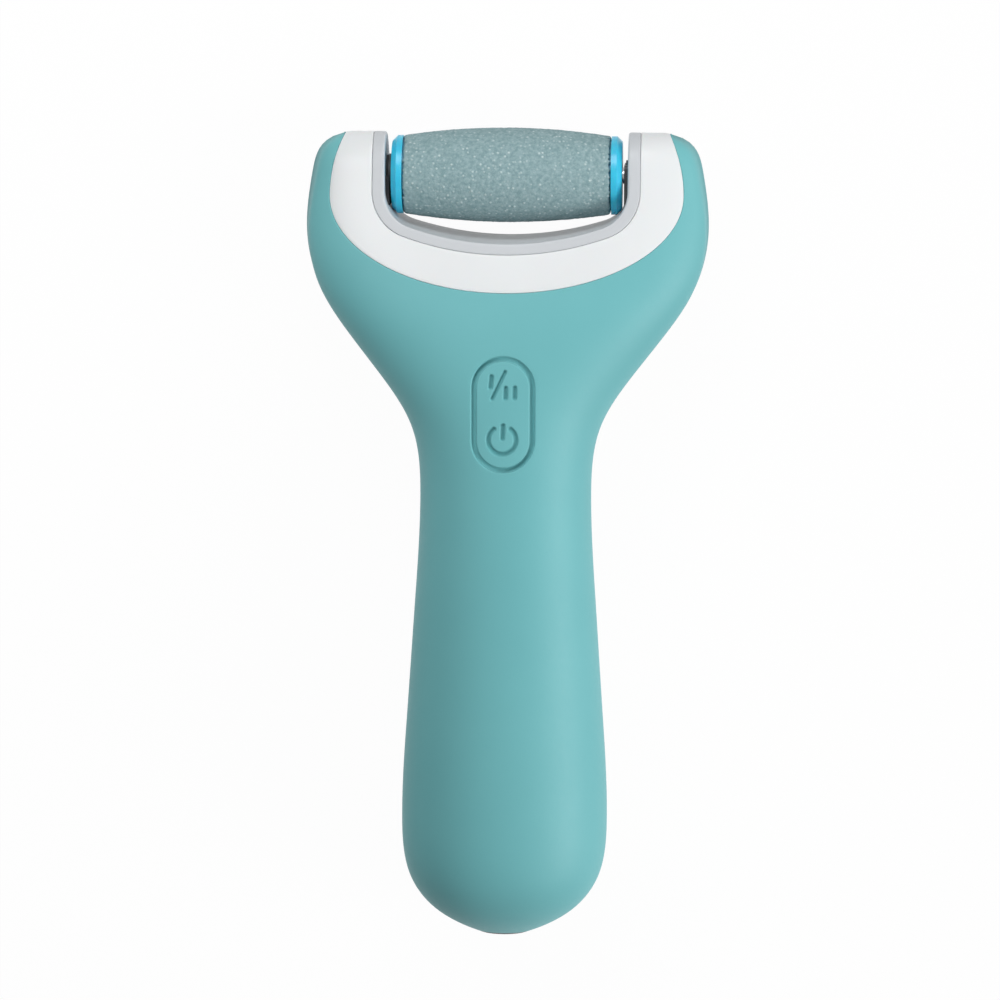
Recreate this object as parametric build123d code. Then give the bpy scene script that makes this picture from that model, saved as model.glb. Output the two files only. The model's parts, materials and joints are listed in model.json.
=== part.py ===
from build123d import *
import math
import os

# Electric callus remover lying on its back: X across, Y from the butt to the
# roller, Z out of the front face. "Along" means millimetres from the butt tip.

# Overall form
OVERALL_LENGTH = 158.4
BODY_LENGTH = 157.3
BUTT_Y = -OVERALL_LENGTH / 2
PARTING_Z = 13.5
WALL = 2.4
FASCIA_DEPTH = 1.2
REACH = 200.0

# Cross sections of the housing: along, half width, half depth, mid height, fullness across
SECTIONS = [
    (0.0, 4.9, 4.6, 16.6, 0.56),
    (0.9, 7.2, 6.4, 16.6, 0.56),
    (2.6, 10.6, 9.3, 16.7, 0.56),
    (5.4, 14.5, 12.6, 16.8, 0.57),
    (11.0, 18.5, 15.8, 16.95, 0.58),
    (23.0, 20.2, 17.0, 17.0, 0.60),
    (44.0, 19.2, 16.3, 16.9, 0.60),
    (66.0, 17.7, 15.1, 16.8, 0.60),
    (87.0, 16.7, 14.1, 16.6, 0.60),
    (100.2, 18.4, 14.0, 16.3, 0.60),
    (109.7, 24.1, 14.2, 15.9, 0.62),
    (118.7, 31.1, 14.6, 15.0, 0.65),
    (127.0, 36.4, 13.8, 14.2, 0.70),
    (138.0, 39.1, 11.2, 13.7, 0.74),
    (149.1, 38.1, 8.4, 13.5, 0.78),
    (153.4, 37.0, 7.2, 13.5, 0.80),
    (156.0, 34.8, 4.8, 13.5, 0.82),
    (157.3, 31.5, 1.9, 13.5, 0.84),
]
FULLNESS_DEEP = 0.60

# Saddle around the roller: inner opening and outer edge of the liner
OPENING_HALF = 23.5
OPENING_FLOOR = 136.8
OPENING_ARC = 60.0
OPENING_CORNER = 7.0
LINER_HALF = 25.9
LINER_FLOOR = 134.6
LINER_ARC = 61.0
LINER_CORNER = 9.0
LINER_GAP = 0.15

# Fascia outline: half an ellipse below, tapering straight sides above
FASCIA_CENTRE = 145.5
FASCIA_HALF = 34.3
FASCIA_DROP = 18.1
FASCIA_RISE = 14.0
FASCIA_DRAW = 3.9

# Roller cartridge
ROLLER_CROWN = 9.25
ROLLER_END = 7.7
ROLLER_Z = 13.5
ROLLER_ALONG = OVERALL_LENGTH - ROLLER_CROWN
SLEEVE_HALF = 20.2
SLEEVE_BORE = 6.6
CORE_BORE = 5.0
CAP_THICK = 2.1
CAP_RADIUS = 7.6
CAP_SPIGOT = 3.0
CAP_FACE = SLEEVE_HALF + CAP_THICK
HEX_FLATS = 5.0
PIN_SOCKET = 1.30

# Gear train, module 0.5 stub teeth; the drive side is -X
MODULE = 0.5
PRESSURE_ANGLE = math.radians(20)
ADDENDUM = 0.8 * MODULE
DEDENDUM = 1.05 * MODULE
BACKLASH = 0.07
PINION_TEETH = 12
WHEEL_TEETH = 26
SMALL_TEETH = 12
IDLER_TEETH = 16
HUB_TEETH = 12
WHEEL_X = (-19.0, -16.0)
TRAIN_X = (-29.9, -27.5)
FRAME_X = (-27.2, -26.1)
FLANGE_X = (-23.0, -CAP_FACE - 0.15)
FLANGE_RADIUS = 4.0
COVER_X = (-31.5, -30.3)
AXLE_RADIUS = 0.75
POST_OFFSET = 3.7
POST_RADIUS = 0.6
POST_BOSS = 4.6
RUNNING = 0.04
SEAT_SLACK = 0.05

# Motor, 130 size, lying across the head
MOTOR_Z = 13.6
MOTOR_RADIUS = 10.05
MOTOR_FLAT = 7.55
MOTOR_FACE_X = -11.5
CAN_LENGTH = 22.4
BELL_LENGTH = 2.6
MOTOR_PLATE = 1.6
SHAFT_RADIUS = 1.0

# Battery, 14500 lithium cell
CELL_RADIUS = 7.1
CELL_ALONG = (21.0, 71.0)
CELL_Z = 15.2

# Circuit board and the rocker button above it
BOARD_ALONG = (74.0, 119.0)
BOARD_HALF = 8.0
BOARD_Z = 21.4
BOARD_THICK = 1.2
BUTTON_ALONG = 104.2
BUTTON_LENGTH = 20.6
BUTTON_WIDTH = 10.4
BUTTON_GROOVE = 0.9
BUTTON_DEPTH = 1.4
SEAL_THICK = 0.5
ROCKER_Z = 26.2
ROCKER_RADIUS = 0.8
SWITCH_SPACING = 7.5
SWITCH_TOP = 25.95

# Release catch on the +X arm
CATCH_TRAVEL = 2.0
PIN_RADIUS = 1.6
FORK_X = (26.9, 27.9)
SLIDE_X = (26.9, 30.9)
COLLAR_X = (28.0, 28.7)
CAGE_X = (32.2, 33.0)

# Charging socket in the butt
SOCKET_Z = 16.6
SOCKET_BORE = 4.0
SOCKET_MOUTH = 0.0
SOCKET_DEPTH = 5.0
SOCKET_OUTER = 5.2
JACK_RADIUS = 1.9

# Housing screws: (side offset, along)
BUTT_SCREW = (11.0, 15.5)
NECK_SCREW = (11.8, 101.5)
SCREW_SEAT_Z = 6.4
SCREW_SHANK = 1.1
SCREW_HEAD = 2.2
BOSS_RADIUS = 3.3


def at(along):
    """Y of a place given in millimetres from the butt tip."""
    return BUTT_Y + along


def section(along, half_width, half_depth, mid, fullness):
    """One closed cross section of four soft quarter curves."""
    y = at(along)

    def quarter(side, face):
        return [
            (side * half_width, y, mid),
            (side * half_width, y, mid + face * FULLNESS_DEEP * half_depth),
            (side * fullness * half_width, y, mid + face * half_depth),
            (0, y, mid + face * half_depth),
        ]

    return Wire(
        [
            Bezier(*quarter(1, 1)),
            Bezier(*reversed(quarter(-1, 1))),
            Bezier(*quarter(-1, -1)),
            Bezier(*reversed(quarter(1, -1))),
        ]
    )


def envelope(inset):
    """The housing's outer form, drawn in by inset all round."""
    rings = []
    for along, half_width, half_depth, mid, fullness in SECTIONS:
        place = inset + along * (BODY_LENGTH - 2 * inset) / BODY_LENGTH
        depth = max(half_depth - inset, 0.3)
        rings.append(section(place, half_width - inset, depth, mid, fullness))
    return Solid.make_loft(rings)


def slab(x, y, z):
    """A box between three pairs of limits."""
    corner = Vector(min(x), min(y), min(z))
    size = [max(pair) - min(pair) for pair in (x, y, z)]
    return Pos(*corner) * Box(*size, align=(Align.MIN, Align.MIN, Align.MIN))


def rod_x(radius, x, along, z):
    """A cylinder along X between two limits."""
    plane = Plane(origin=(min(x), at(along), z), x_dir=(0, 1, 0), z_dir=(1, 0, 0))
    return extrude(plane * Circle(radius), amount=max(x) - min(x))


def rod_y(radius, along, x, z):
    """A cylinder along Y between two distances from the butt."""
    plane = Plane(origin=(x, at(min(along)), z), x_dir=(1, 0, 0), z_dir=(0, 1, 0))
    return extrude(plane * Circle(radius), amount=max(along) - min(along))


def rod_z(radius, x, along, z):
    """A cylinder along Z between two heights."""
    return Pos(x, at(along), min(z)) * Cylinder(
        radius, max(z) - min(z), align=(Align.CENTER, Align.CENTER, Align.MIN)
    )


def saddle(half, floor, arc, corner):
    """A U-shaped prism open towards the roller end, with a gently arched floor."""
    side = floor + arc - math.sqrt(arc**2 - half**2)
    with BuildSketch() as sketch:
        with BuildLine():
            base = ThreePointArc((-half, at(side)), (0, at(floor)), (half, at(side)))
            Polyline(base @ 1, (half, REACH), (-half, REACH), base @ 0)
        make_face()
        lowest = sketch.vertices().sort_by(Axis.Y)[:2]
        fillet(lowest, corner)
    return Pos(0, 0, -REACH / 2) * extrude(sketch.sketch, amount=REACH)


def fascia_prism():
    """The fascia's outline carried through the whole depth of the head."""
    top = at(FASCIA_CENTRE + FASCIA_RISE)
    narrow = FASCIA_HALF - FASCIA_DRAW
    with BuildSketch() as sketch:
        with BuildLine():
            bow = EllipticalCenterArc(
                (0, at(FASCIA_CENTRE)), FASCIA_HALF, FASCIA_DROP, start_angle=180, arc_size=180
            )
            right = Bezier(bow @ 1, (FASCIA_HALF, top - FASCIA_RISE / 2), (narrow, top))
            left = Bezier(bow @ 0, (-FASCIA_HALF, top - FASCIA_RISE / 2), (-narrow, top))
            Line(right @ 1, left @ 1)
        make_face()
    return Pos(0, 0, -REACH / 2) * extrude(sketch.sketch, amount=REACH)


def stadium(grow):
    """The button's outline carried through the front wall, grown by grow all round."""
    with BuildSketch(Plane.XY.offset(ROCKER_Z + 0.2)) as sketch:
        with Locations((0, at(BUTTON_ALONG))):
            SlotOverall(BUTTON_LENGTH + 2 * grow, BUTTON_WIDTH + 2 * grow, rotation=90)
    return extrude(sketch.sketch, amount=REACH)


OUTER = envelope(0)
FASCIA_SEAT = envelope(FASCIA_DEPTH)
CAVITY = envelope(WALL)
LINER_PRISM = saddle(LINER_HALF, LINER_FLOOR, LINER_ARC, LINER_CORNER)
LINER_CUT = saddle(
    LINER_HALF + LINER_GAP, LINER_FLOOR - LINER_GAP, LINER_ARC, LINER_CORNER
)
OPENING_PRISM = saddle(OPENING_HALF, OPENING_FLOOR, OPENING_ARC, OPENING_CORNER)
CHEEK_PRISM = saddle(OPENING_HALF - 0.05, OPENING_FLOOR + 0.15, OPENING_ARC, OPENING_CORNER)
FASCIA_PRISM = fascia_prism()
FRONT_HALF = slab((-REACH, REACH), (-REACH, REACH), (PARTING_Z, REACH))
BACK_HALF = slab((-REACH, REACH), (-REACH, REACH), (-REACH, PARTING_Z))


def spaced(teeth_a, teeth_b):
    """Distance between the centres of two meshing gears."""
    return MODULE * (teeth_a + teeth_b) / 2


def train_place(distance):
    """Along and height of a point of the straight gear train, from the roller axis back."""
    rise = (MOTOR_Z - ROLLER_Z) / TRAIN_LENGTH
    run = math.sqrt(1 - rise**2)
    return ROLLER_ALONG - distance * run, ROLLER_Z + distance * rise


OUTER_IDLER_AT = spaced(HUB_TEETH, IDLER_TEETH)
INNER_IDLER_AT = OUTER_IDLER_AT + spaced(IDLER_TEETH, IDLER_TEETH)
COMPOUND_AT = INNER_IDLER_AT + spaced(IDLER_TEETH, SMALL_TEETH)
TRAIN_LENGTH = COMPOUND_AT + spaced(WHEEL_TEETH, PINION_TEETH)
MOTOR_ALONG = train_place(TRAIN_LENGTH)[0]


def meshed(phase, teeth, next_teeth):
    """Phase of the gear towards the butt that meshes with a gear of the given phase.

    Phases are the angle of one tooth, from the line of centres that points at the roller.
    """
    tooth = math.pi - phase
    share = tooth * teeth / (2 * math.pi)
    return -(0.5 - share) * 2 * math.pi / next_teeth


LINE_ANGLE = math.atan2(
    ROLLER_Z - train_place(COMPOUND_AT)[1], ROLLER_ALONG - train_place(COMPOUND_AT)[0]
)
HUB_PHASE = 0.0
OUTER_IDLER_PHASE = meshed(HUB_PHASE, HUB_TEETH, IDLER_TEETH)
INNER_IDLER_PHASE = meshed(OUTER_IDLER_PHASE, IDLER_TEETH, IDLER_TEETH)
SMALL_PHASE = meshed(INNER_IDLER_PHASE, IDLER_TEETH, SMALL_TEETH)
WHEEL_PHASE = SMALL_PHASE
PINION_PHASE = meshed(WHEEL_PHASE, WHEEL_TEETH, PINION_TEETH)


def tooth_half_angle(radius, teeth):
    """Half the angle that a tooth takes up at a radius, on its involute flank."""
    pitch = MODULE * teeth / 2
    base = pitch * math.cos(PRESSURE_ANGLE)
    lean = math.acos(min(1.0, base / radius))
    swing = math.tan(PRESSURE_ANGLE) - PRESSURE_ANGLE - (math.tan(lean) - lean)
    return math.pi / (2 * teeth) + swing - BACKLASH / (2 * pitch)


def gear_face(teeth, phase):
    """Outline of a spur gear with involute flanks, one tooth centred on phase."""
    pitch = MODULE * teeth / 2
    base = pitch * math.cos(PRESSURE_ANGLE)
    tip = pitch + ADDENDUM
    root = pitch - DEDENDUM
    start = max(base, root)
    radii = [start + (tip - start) * k / 3 for k in range(4)]

    def polar(radius, angle):
        return Vector(radius * math.cos(angle), radius * math.sin(angle))

    edges = []
    for tooth in range(teeth):
        middle = phase + LINE_ANGLE + tooth * 2 * math.pi / teeth
        after = middle + math.pi / teeth
        rising = [polar(r, middle - tooth_half_angle(r, teeth)) for r in radii]
        falling = [polar(r, middle + tooth_half_angle(r, teeth)) for r in reversed(radii)]
        foot = tooth_half_angle(start, teeth)
        foot_in = polar(root, middle - foot)
        foot_out = polar(root, middle + foot)
        next_foot = polar(root, middle + 2 * math.pi / teeth - foot)
        if root < start:
            edges.append(Edge.make_line(foot_in, rising[0]))
            edges.append(Edge.make_line(falling[-1], foot_out))
        edges.append(Edge.make_spline(rising))
        edges.append(Edge.make_three_point_arc(rising[-1], polar(tip, middle), falling[0]))
        edges.append(Edge.make_spline(falling))
        edges.append(Edge.make_three_point_arc(foot_out, polar(root, after), next_foot))
    return Face(Wire.combine(edges)[0])


def gear(teeth, phase, x, distance):
    """A spur gear between two X limits, at a distance back along the train."""
    along, z = train_place(distance)
    plane = Plane(origin=(min(x), at(along), z), x_dir=(0, 1, 0), z_dir=(1, 0, 0))
    return extrude(plane * gear_face(teeth, phase), amount=max(x) - min(x))


def train_rod(radius, x, distance):
    """A cylinder along X at a distance back along the train."""
    along, z = train_place(distance)
    return rod_x(radius, x, along, z)


def link_plate(x, spots):
    """A flat plate around round bosses, each (distance, radius), joined in order."""
    plane = Plane(origin=(min(x), 0, 0), x_dir=(0, 1, 0), z_dir=(1, 0, 0))
    faces = []
    for (near, near_radius), (far, far_radius) in zip(spots, spots[1:]):
        rings = []
        for distance, radius in ((near, near_radius), (far, far_radius)):
            along, z = train_place(distance)
            rings.append(Pos(at(along), z) * Circle(radius))
        faces.append(make_hull((rings[0] + rings[1]).edges()))
    outline = faces[0]
    for face in faces[1:]:
        outline += face
    return extrude(plane * outline, amount=max(x) - min(x))


# Housing


def shell_half(half, ribs):
    """One half of the teal housing: wall, fascia seat, and the ribs left in its cavity."""
    hollow = CAVITY
    for rib in ribs:
        hollow = hollow - rib
    shell = (OUTER & half) - hollow - LINER_CUT
    return shell - (FASCIA_PRISM - FASCIA_SEAT)


def screw_spots():
    """The four housing screws' places, mirrored about the middle."""
    spots = []
    for side in (-1, 1):
        for offset, along in (BUTT_SCREW, NECK_SCREW):
            spots.append((side * offset, along))
    return spots


def cell_ribs():
    """Cross walls that hold the battery cell, for both halves."""
    cell = rod_y(CELL_RADIUS + SEAT_SLACK, (0, BODY_LENGTH), 0, CELL_Z)
    return [
        slab((-REACH, REACH), (at(along), at(along + 1.6)), (-REACH, REACH)) - cell
        for along in (26.0, 45.2, 64.4)
    ]


def socket_ribs():
    """Two cross walls that hold the charging socket."""
    socket = rod_y(SOCKET_OUTER + SEAT_SLACK, (0, 20), 0, SOCKET_Z)
    return [
        slab((-REACH, REACH), (at(along), at(along + 1.4)), (-REACH, REACH)) - socket
        for along in (5.6, 11.4)
    ]


def motor_ribs():
    """Two saddles across the back half that the motor lies in."""
    motor = rod_x(MOTOR_RADIUS + SEAT_SLACK, (-REACH, REACH), MOTOR_ALONG, MOTOR_Z)
    flat = MOTOR_FLAT + SEAT_SLACK
    motor &= slab((-REACH, REACH), (-REACH, REACH), (MOTOR_Z - flat, MOTOR_Z + flat))
    reach = (at(MOTOR_ALONG - 13), at(MOTOR_ALONG + 12))
    return [
        slab((x, x + 1.6), reach, (-REACH, MOTOR_Z)) - motor for x in (-8.0, 9.0)
    ]


def front_shell():
    ribs = cell_ribs() + socket_ribs()
    for x, along in screw_spots():
        ribs.append(rod_z(BOSS_RADIUS, x, along, (0, REACH)))
    for x, along in board_spots():
        ribs.append(rod_z(2.0, x, along, (BOARD_Z + BOARD_THICK, REACH)))
    for side in (-1, 1):
        ribs.append(
            slab(
                (side * 6.0, side * 7.4),
                (at(BUTTON_ALONG - 1.5), at(BUTTON_ALONG + 1.5)),
                (ROCKER_Z - 1.4, REACH),
            )
        )
    shell = shell_half(FRONT_HALF, ribs) - stadium(BUTTON_GROOVE)
    shell -= rod_x(ROCKER_RADIUS + 0.06, (-8, 8), BUTTON_ALONG, ROCKER_Z)
    shell -= rod_y(SOCKET_OUTER + SEAT_SLACK, (-1, 17), 0, SOCKET_Z)
    for x, along in screw_spots():
        shell -= rod_z(SCREW_SHANK, x, along, (0, SCREW_SEAT_Z + 16))
    for x, along in board_spots():
        shell -= rod_z(0.9, x, along, (0, BOARD_Z + BOARD_THICK + 3))
    return shell


def back_shell():
    ribs = cell_ribs() + socket_ribs() + motor_ribs()
    for x, along in screw_spots():
        ribs.append(rod_z(BOSS_RADIUS, x, along, (-REACH, PARTING_Z)))
    shell = shell_half(BACK_HALF, ribs)
    shell -= rod_y(SOCKET_OUTER + SEAT_SLACK, (-1, 17), 0, SOCKET_Z)
    shell -= catch_slot()
    for x, along in screw_spots():
        shell -= rod_z(SCREW_SHANK + 0.2, x, along, (-1, PARTING_Z))
        shell -= rod_z(SCREW_HEAD + 0.3, x, along, (-5, SCREW_SEAT_Z))
    return shell


def fascia(half):
    """White cover plate on one face of the head, wrapped over the arm tips."""
    return (OUTER & FASCIA_PRISM & half) - FASCIA_SEAT - LINER_CUT


def front_fascia():
    return fascia(FRONT_HALF)


def back_fascia():
    return fascia(BACK_HALF) - catch_slot()


def saddle_liner():
    """Grey U-shaped liner through the whole depth, carrying the roller's two supports."""
    liner = (OUTER & LINER_PRISM) - OPENING_PRISM
    liner -= rod_x(3.2, (-REACH, 0), ROLLER_ALONG, ROLLER_Z)
    liner -= rod_x(3.0, (0, REACH), ROLLER_ALONG, ROLLER_Z)
    return liner


def shell_screws():
    """Pan-head screws from the back into the front half's bosses."""
    screws = []
    for x, along in screw_spots():
        shank = rod_z(SCREW_SHANK, x, along, (SCREW_SEAT_Z - 1, SCREW_SEAT_Z + 15))
        head = rod_z(SCREW_HEAD, x, along, (SCREW_SEAT_Z - 1.6, SCREW_SEAT_Z))
        screws.append(shank + head)
    return screws


# Button and electronics


def button_pad():
    return (OUTER - envelope(BUTTON_DEPTH)) & stadium(0)


def button_seal():
    """Flexible sheet across the button's opening, clamped under the pad."""
    sheet = envelope(BUTTON_DEPTH) - envelope(BUTTON_DEPTH + SEAL_THICK)
    return sheet & stadium(BUTTON_GROOVE)


def rocker_lever():
    """Lever under the seal: trunnions across, one pusher over each switch."""
    lever = envelope(BUTTON_DEPTH + SEAL_THICK) & stadium(0)
    lever = lever + rod_x(ROCKER_RADIUS, (-7.6, 7.6), BUTTON_ALONG, ROCKER_Z)
    for side in (-1, 1):
        along = BUTTON_ALONG + side * SWITCH_SPACING
        lever = lever + rod_z(1.2, 0, along, (SWITCH_TOP + 0.3, ROCKER_Z + 1))
    return lever


def board_spots():
    """The board's four screws."""
    return [(x, along) for x in (-6.5, 6.5) for along in (78.0, 89.5)]


def circuit_board():
    board = slab(
        (-BOARD_HALF, BOARD_HALF),
        [at(along) for along in BOARD_ALONG],
        (BOARD_Z, BOARD_Z + BOARD_THICK),
    )
    board = fillet(board.edges().filter_by(Axis.Z), 1.5)
    for x, along in board_spots():
        board -= rod_z(0.9, x, along, (0, REACH))
    return board


def board_screws():
    screws = []
    for x, along in board_spots():
        shank = rod_z(0.9, x, along, (BOARD_Z - 0.5, BOARD_Z + BOARD_THICK + 3))
        screws.append(shank + rod_z(1.8, x, along, (BOARD_Z - 1.2, BOARD_Z)))
    return screws


def tactile_switches():
    """Two small push switches under the ends of the rocker."""
    switches = []
    for side in (-1, 1):
        along = BUTTON_ALONG + side * SWITCH_SPACING
        top = BOARD_Z + BOARD_THICK
        body = slab(
            (-2.25, 2.25), (at(along - 2.25), at(along + 2.25)), (top, SWITCH_TOP - 0.4)
        )
        switches.append(body + rod_z(1.0, 0, along, (top + 1, SWITCH_TOP)))
    return switches


def board_components():
    """Controller chip, two power parts and the lead sockets on the board's front."""
    top = BOARD_Z + BOARD_THICK
    sizes = [
        (-0.5, 83.5, 5.0, 5.0, 0.9),
        (-5.8, 84.0, 2.6, 3.0, 1.1),
        (5.6, 83.6, 2.2, 3.2, 1.4),
        (0.0, 77.4, 6.0, 3.4, 2.4),
    ]
    parts = []
    for x, along, width, length, height in sizes:
        parts.append(
            slab(
                (x - width / 2, x + width / 2),
                (at(along - length / 2), at(along + length / 2)),
                (top, top + height),
            )
        )
    return parts


def battery_cell():
    """Lithium cell with its raised positive button."""
    near, far = CELL_ALONG
    can = rod_y(CELL_RADIUS, (near, far - 1), 0, CELL_Z)
    can = fillet(can.edges().filter_by(GeomType.CIRCLE), 0.6)
    return can + rod_y(2.75, (far - 2, far), 0, CELL_Z)


def charging_socket():
    """Round socket insert: recess for the plug's shroud, then the jack behind it."""
    insert = rod_y(SOCKET_OUTER, (0, 17), 0, SOCKET_Z) & OUTER
    mouth = SOCKET_MOUTH + SOCKET_DEPTH
    insert -= rod_y(SOCKET_BORE, (-1, mouth), 0, SOCKET_Z)
    insert -= rod_y(JACK_RADIUS, (mouth - 1, mouth + 9), 0, SOCKET_Z)
    return insert


def socket_pin():
    mouth = SOCKET_MOUTH + SOCKET_DEPTH
    return fillet(
        rod_y(0.65, (mouth + 0.6, mouth + 9), 0, SOCKET_Z)
        .edges()
        .filter_by(GeomType.CIRCLE)
        .sort_by(Axis.Y)[:1],
        0.4,
    )


# Motor and gear train


def motor_prism(x):
    """The motor's outline, a circle with two flats, between two X limits."""
    body = rod_x(MOTOR_RADIUS, x, MOTOR_ALONG, MOTOR_Z)
    return body & slab(
        (-REACH, REACH), (-REACH, REACH), (MOTOR_Z - MOTOR_FLAT, MOTOR_Z + MOTOR_FLAT)
    )


def mount_spots():
    """Along and height of the two screws that hold the motor to the gearbox frame."""
    return [(MOTOR_ALONG, MOTOR_Z - 5.2), (MOTOR_ALONG, MOTOR_Z + 5.2)]


def motor_can():
    end = MOTOR_FACE_X + CAN_LENGTH
    can = motor_prism((MOTOR_FACE_X, end))
    boss = (MOTOR_FACE_X - MOTOR_PLATE, MOTOR_FACE_X + 1)
    can = can + rod_x(3.0, boss, MOTOR_ALONG, MOTOR_Z)
    can -= rod_x(SHAFT_RADIUS + RUNNING, (-REACH, REACH), MOTOR_ALONG, MOTOR_Z)
    for spot in mount_spots():
        can -= rod_x(0.9, (MOTOR_FACE_X, MOTOR_FACE_X + 3), *spot)
    return can


def motor_end_bell():
    start = MOTOR_FACE_X + CAN_LENGTH
    bell = motor_prism((start, start + BELL_LENGTH))
    bell = bell + rod_x(3.5, (start, start + BELL_LENGTH + 0.8), MOTOR_ALONG, MOTOR_Z)
    return bell - rod_x(SHAFT_RADIUS + RUNNING, (start, start + 2), MOTOR_ALONG, MOTOR_Z)


def motor_shaft():
    end = MOTOR_FACE_X + CAN_LENGTH + 1.8
    return rod_x(SHAFT_RADIUS, (WHEEL_X[0] - 0.6, end), MOTOR_ALONG, MOTOR_Z)


def motor_pinion():
    wide = (WHEEL_X[0] - 0.2, WHEEL_X[1] + 0.4)
    pinion = gear(PINION_TEETH, PINION_PHASE, wide, TRAIN_LENGTH)
    return pinion - rod_x(SHAFT_RADIUS, (-REACH, REACH), MOTOR_ALONG, MOTOR_Z)


def gearbox_frame():
    """Moulded frame: a plate on the motor, a plate along the arm, and a wall between."""
    motor_x = (MOTOR_FACE_X - MOTOR_PLATE, MOTOR_FACE_X)
    frame = link_plate(motor_x, [(TRAIN_LENGTH, 9.0), (COMPOUND_AT, 4.0)])
    frame = frame + link_plate(FRAME_X, [(0, 3.6), (INNER_IDLER_AT, 4.0), (COMPOUND_AT, 4.0)])
    along, z = train_place(COMPOUND_AT)
    under = z + MODULE * WHEEL_TEETH / 2 + ADDENDUM + 0.3
    reach = (at(along - 3.5), at(along + 3.5))
    for x in (motor_x, FRAME_X):
        frame = frame + slab(x, reach, (z, under + 0.5))
    frame = frame + slab((FRAME_X[0], motor_x[1]), reach, (under, under + 1.1))
    middle = (INNER_IDLER_AT + OUTER_IDLER_AT) / 2
    frame = frame + train_rod(POST_BOSS, FRAME_X, middle)
    for spot in frame_posts():
        frame = frame + rod_x(POST_RADIUS, (COVER_X[0], FRAME_X[1]), *spot)
    frame -= rod_x(3.0, motor_x, MOTOR_ALONG, MOTOR_Z)
    frame -= train_rod(AXLE_RADIUS, (-REACH, REACH), COMPOUND_AT)
    frame -= train_rod(2.2, FRAME_X, COMPOUND_AT)
    frame -= train_rod(AXLE_RADIUS, FRAME_X, INNER_IDLER_AT)
    frame -= train_rod(AXLE_RADIUS, FRAME_X, OUTER_IDLER_AT)
    frame -= train_rod(2.0 + RUNNING, FRAME_X, 0)
    for spot in mount_spots():
        frame -= rod_x(0.9, motor_x, *spot)
    return frame


def frame_posts():
    """Places of the two posts that carry the gear cover, beside the idlers' mesh."""
    along, z = train_place((INNER_IDLER_AT + OUTER_IDLER_AT) / 2)
    return [(along, z - POST_OFFSET), (along, z + POST_OFFSET)]


def gear_cover():
    """Outer plate that carries the far ends of the axles."""
    middle = (INNER_IDLER_AT + OUTER_IDLER_AT) / 2
    cover = link_plate(
        COVER_X, [(0, 2.8), (OUTER_IDLER_AT, 4.0), (INNER_IDLER_AT, 4.0), (COMPOUND_AT, 2.6)]
    )
    cover = cover + train_rod(POST_BOSS, COVER_X, middle)
    cover -= train_rod(1.25 + RUNNING, COVER_X, 0)
    for distance in (OUTER_IDLER_AT, INNER_IDLER_AT, COMPOUND_AT):
        cover -= train_rod(AXLE_RADIUS, COVER_X, distance)
    for spot in frame_posts():
        cover -= rod_x(POST_RADIUS, COVER_X, *spot)
    return cover


def gearbox_screws():
    screws = []
    plate = MOTOR_FACE_X - MOTOR_PLATE
    for spot in mount_spots():
        shank = rod_x(0.9, (plate - 0.5, MOTOR_FACE_X + 3), *spot)
        screws.append(shank + rod_x(1.7, (plate - 1.1, plate), *spot))
    return screws


def compound_gear():
    """Large wheel and small gear on one sleeve."""
    sleeve = (TRAIN_X[0], MOTOR_FACE_X - MOTOR_PLATE - 0.3)
    cluster = gear(WHEEL_TEETH, WHEEL_PHASE, WHEEL_X, COMPOUND_AT)
    cluster = cluster + train_rod(1.9, sleeve, COMPOUND_AT)
    cluster = cluster + gear(SMALL_TEETH, SMALL_PHASE, TRAIN_X, COMPOUND_AT)
    return cluster - train_rod(AXLE_RADIUS + RUNNING, (-REACH, REACH), COMPOUND_AT)


def idler_gear(phase, distance):
    wheel = gear(IDLER_TEETH, phase, TRAIN_X, distance)
    return wheel - train_rod(AXLE_RADIUS + RUNNING, (-REACH, REACH), distance)


def axle(distance, inner_x):
    return train_rod(AXLE_RADIUS, (COVER_X[0], inner_x), distance)


def drive_gear():
    wheel = gear(HUB_TEETH, HUB_PHASE, TRAIN_X, 0)
    return wheel - train_rod(1.5, (-REACH, REACH), 0)


def drive_hub():
    """Stepped spindle: tail, gear seat, journal, flange and the hexagon that turns the roller."""
    hub = train_rod(1.25, (COVER_X[0], TRAIN_X[0]), 0)
    hub = hub + train_rod(1.5, TRAIN_X, 0)
    hub = hub + train_rod(2.0, (TRAIN_X[1] + 0.2, FLANGE_X[0]), 0)
    hub = hub + train_rod(1.5, (TRAIN_X[1], TRAIN_X[1] + 0.2), 0)
    hub = hub + train_rod(FLANGE_RADIUS, FLANGE_X, 0)
    return hub + hexagon(HEX_FLATS, (FLANGE_X[1], -19.0))


def hexagon(flats, x):
    plane = Plane(origin=(min(x), at(ROLLER_ALONG), ROLLER_Z), x_dir=(0, 1, 0), z_dir=(1, 0, 0))
    shape = RegularPolygon(flats / 2, 6, major_radius=False)
    return extrude(plane * shape, amount=max(x) - min(x))


def ring_x(outer, inner, x):
    return rod_x(outer, x, ROLLER_ALONG, ROLLER_Z) - rod_x(inner, x, ROLLER_ALONG, ROLLER_Z)


def drive_bush():
    return ring_x(3.2, 2.0 + RUNNING, (-26.1, -24.6))


def cheek(x, top):
    """Plate that fills the saddle beside the roller, up to a height over the roller's axis."""
    reach = (at(ROLLER_ALONG - CAP_RADIUS), at(ROLLER_ALONG + top))
    plate = slab(x, reach, (ROLLER_Z - 5.0, ROLLER_Z + 5.0))
    return fillet(plate.edges().filter_by(Axis.X), 0.8) & CHEEK_PRISM


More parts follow.
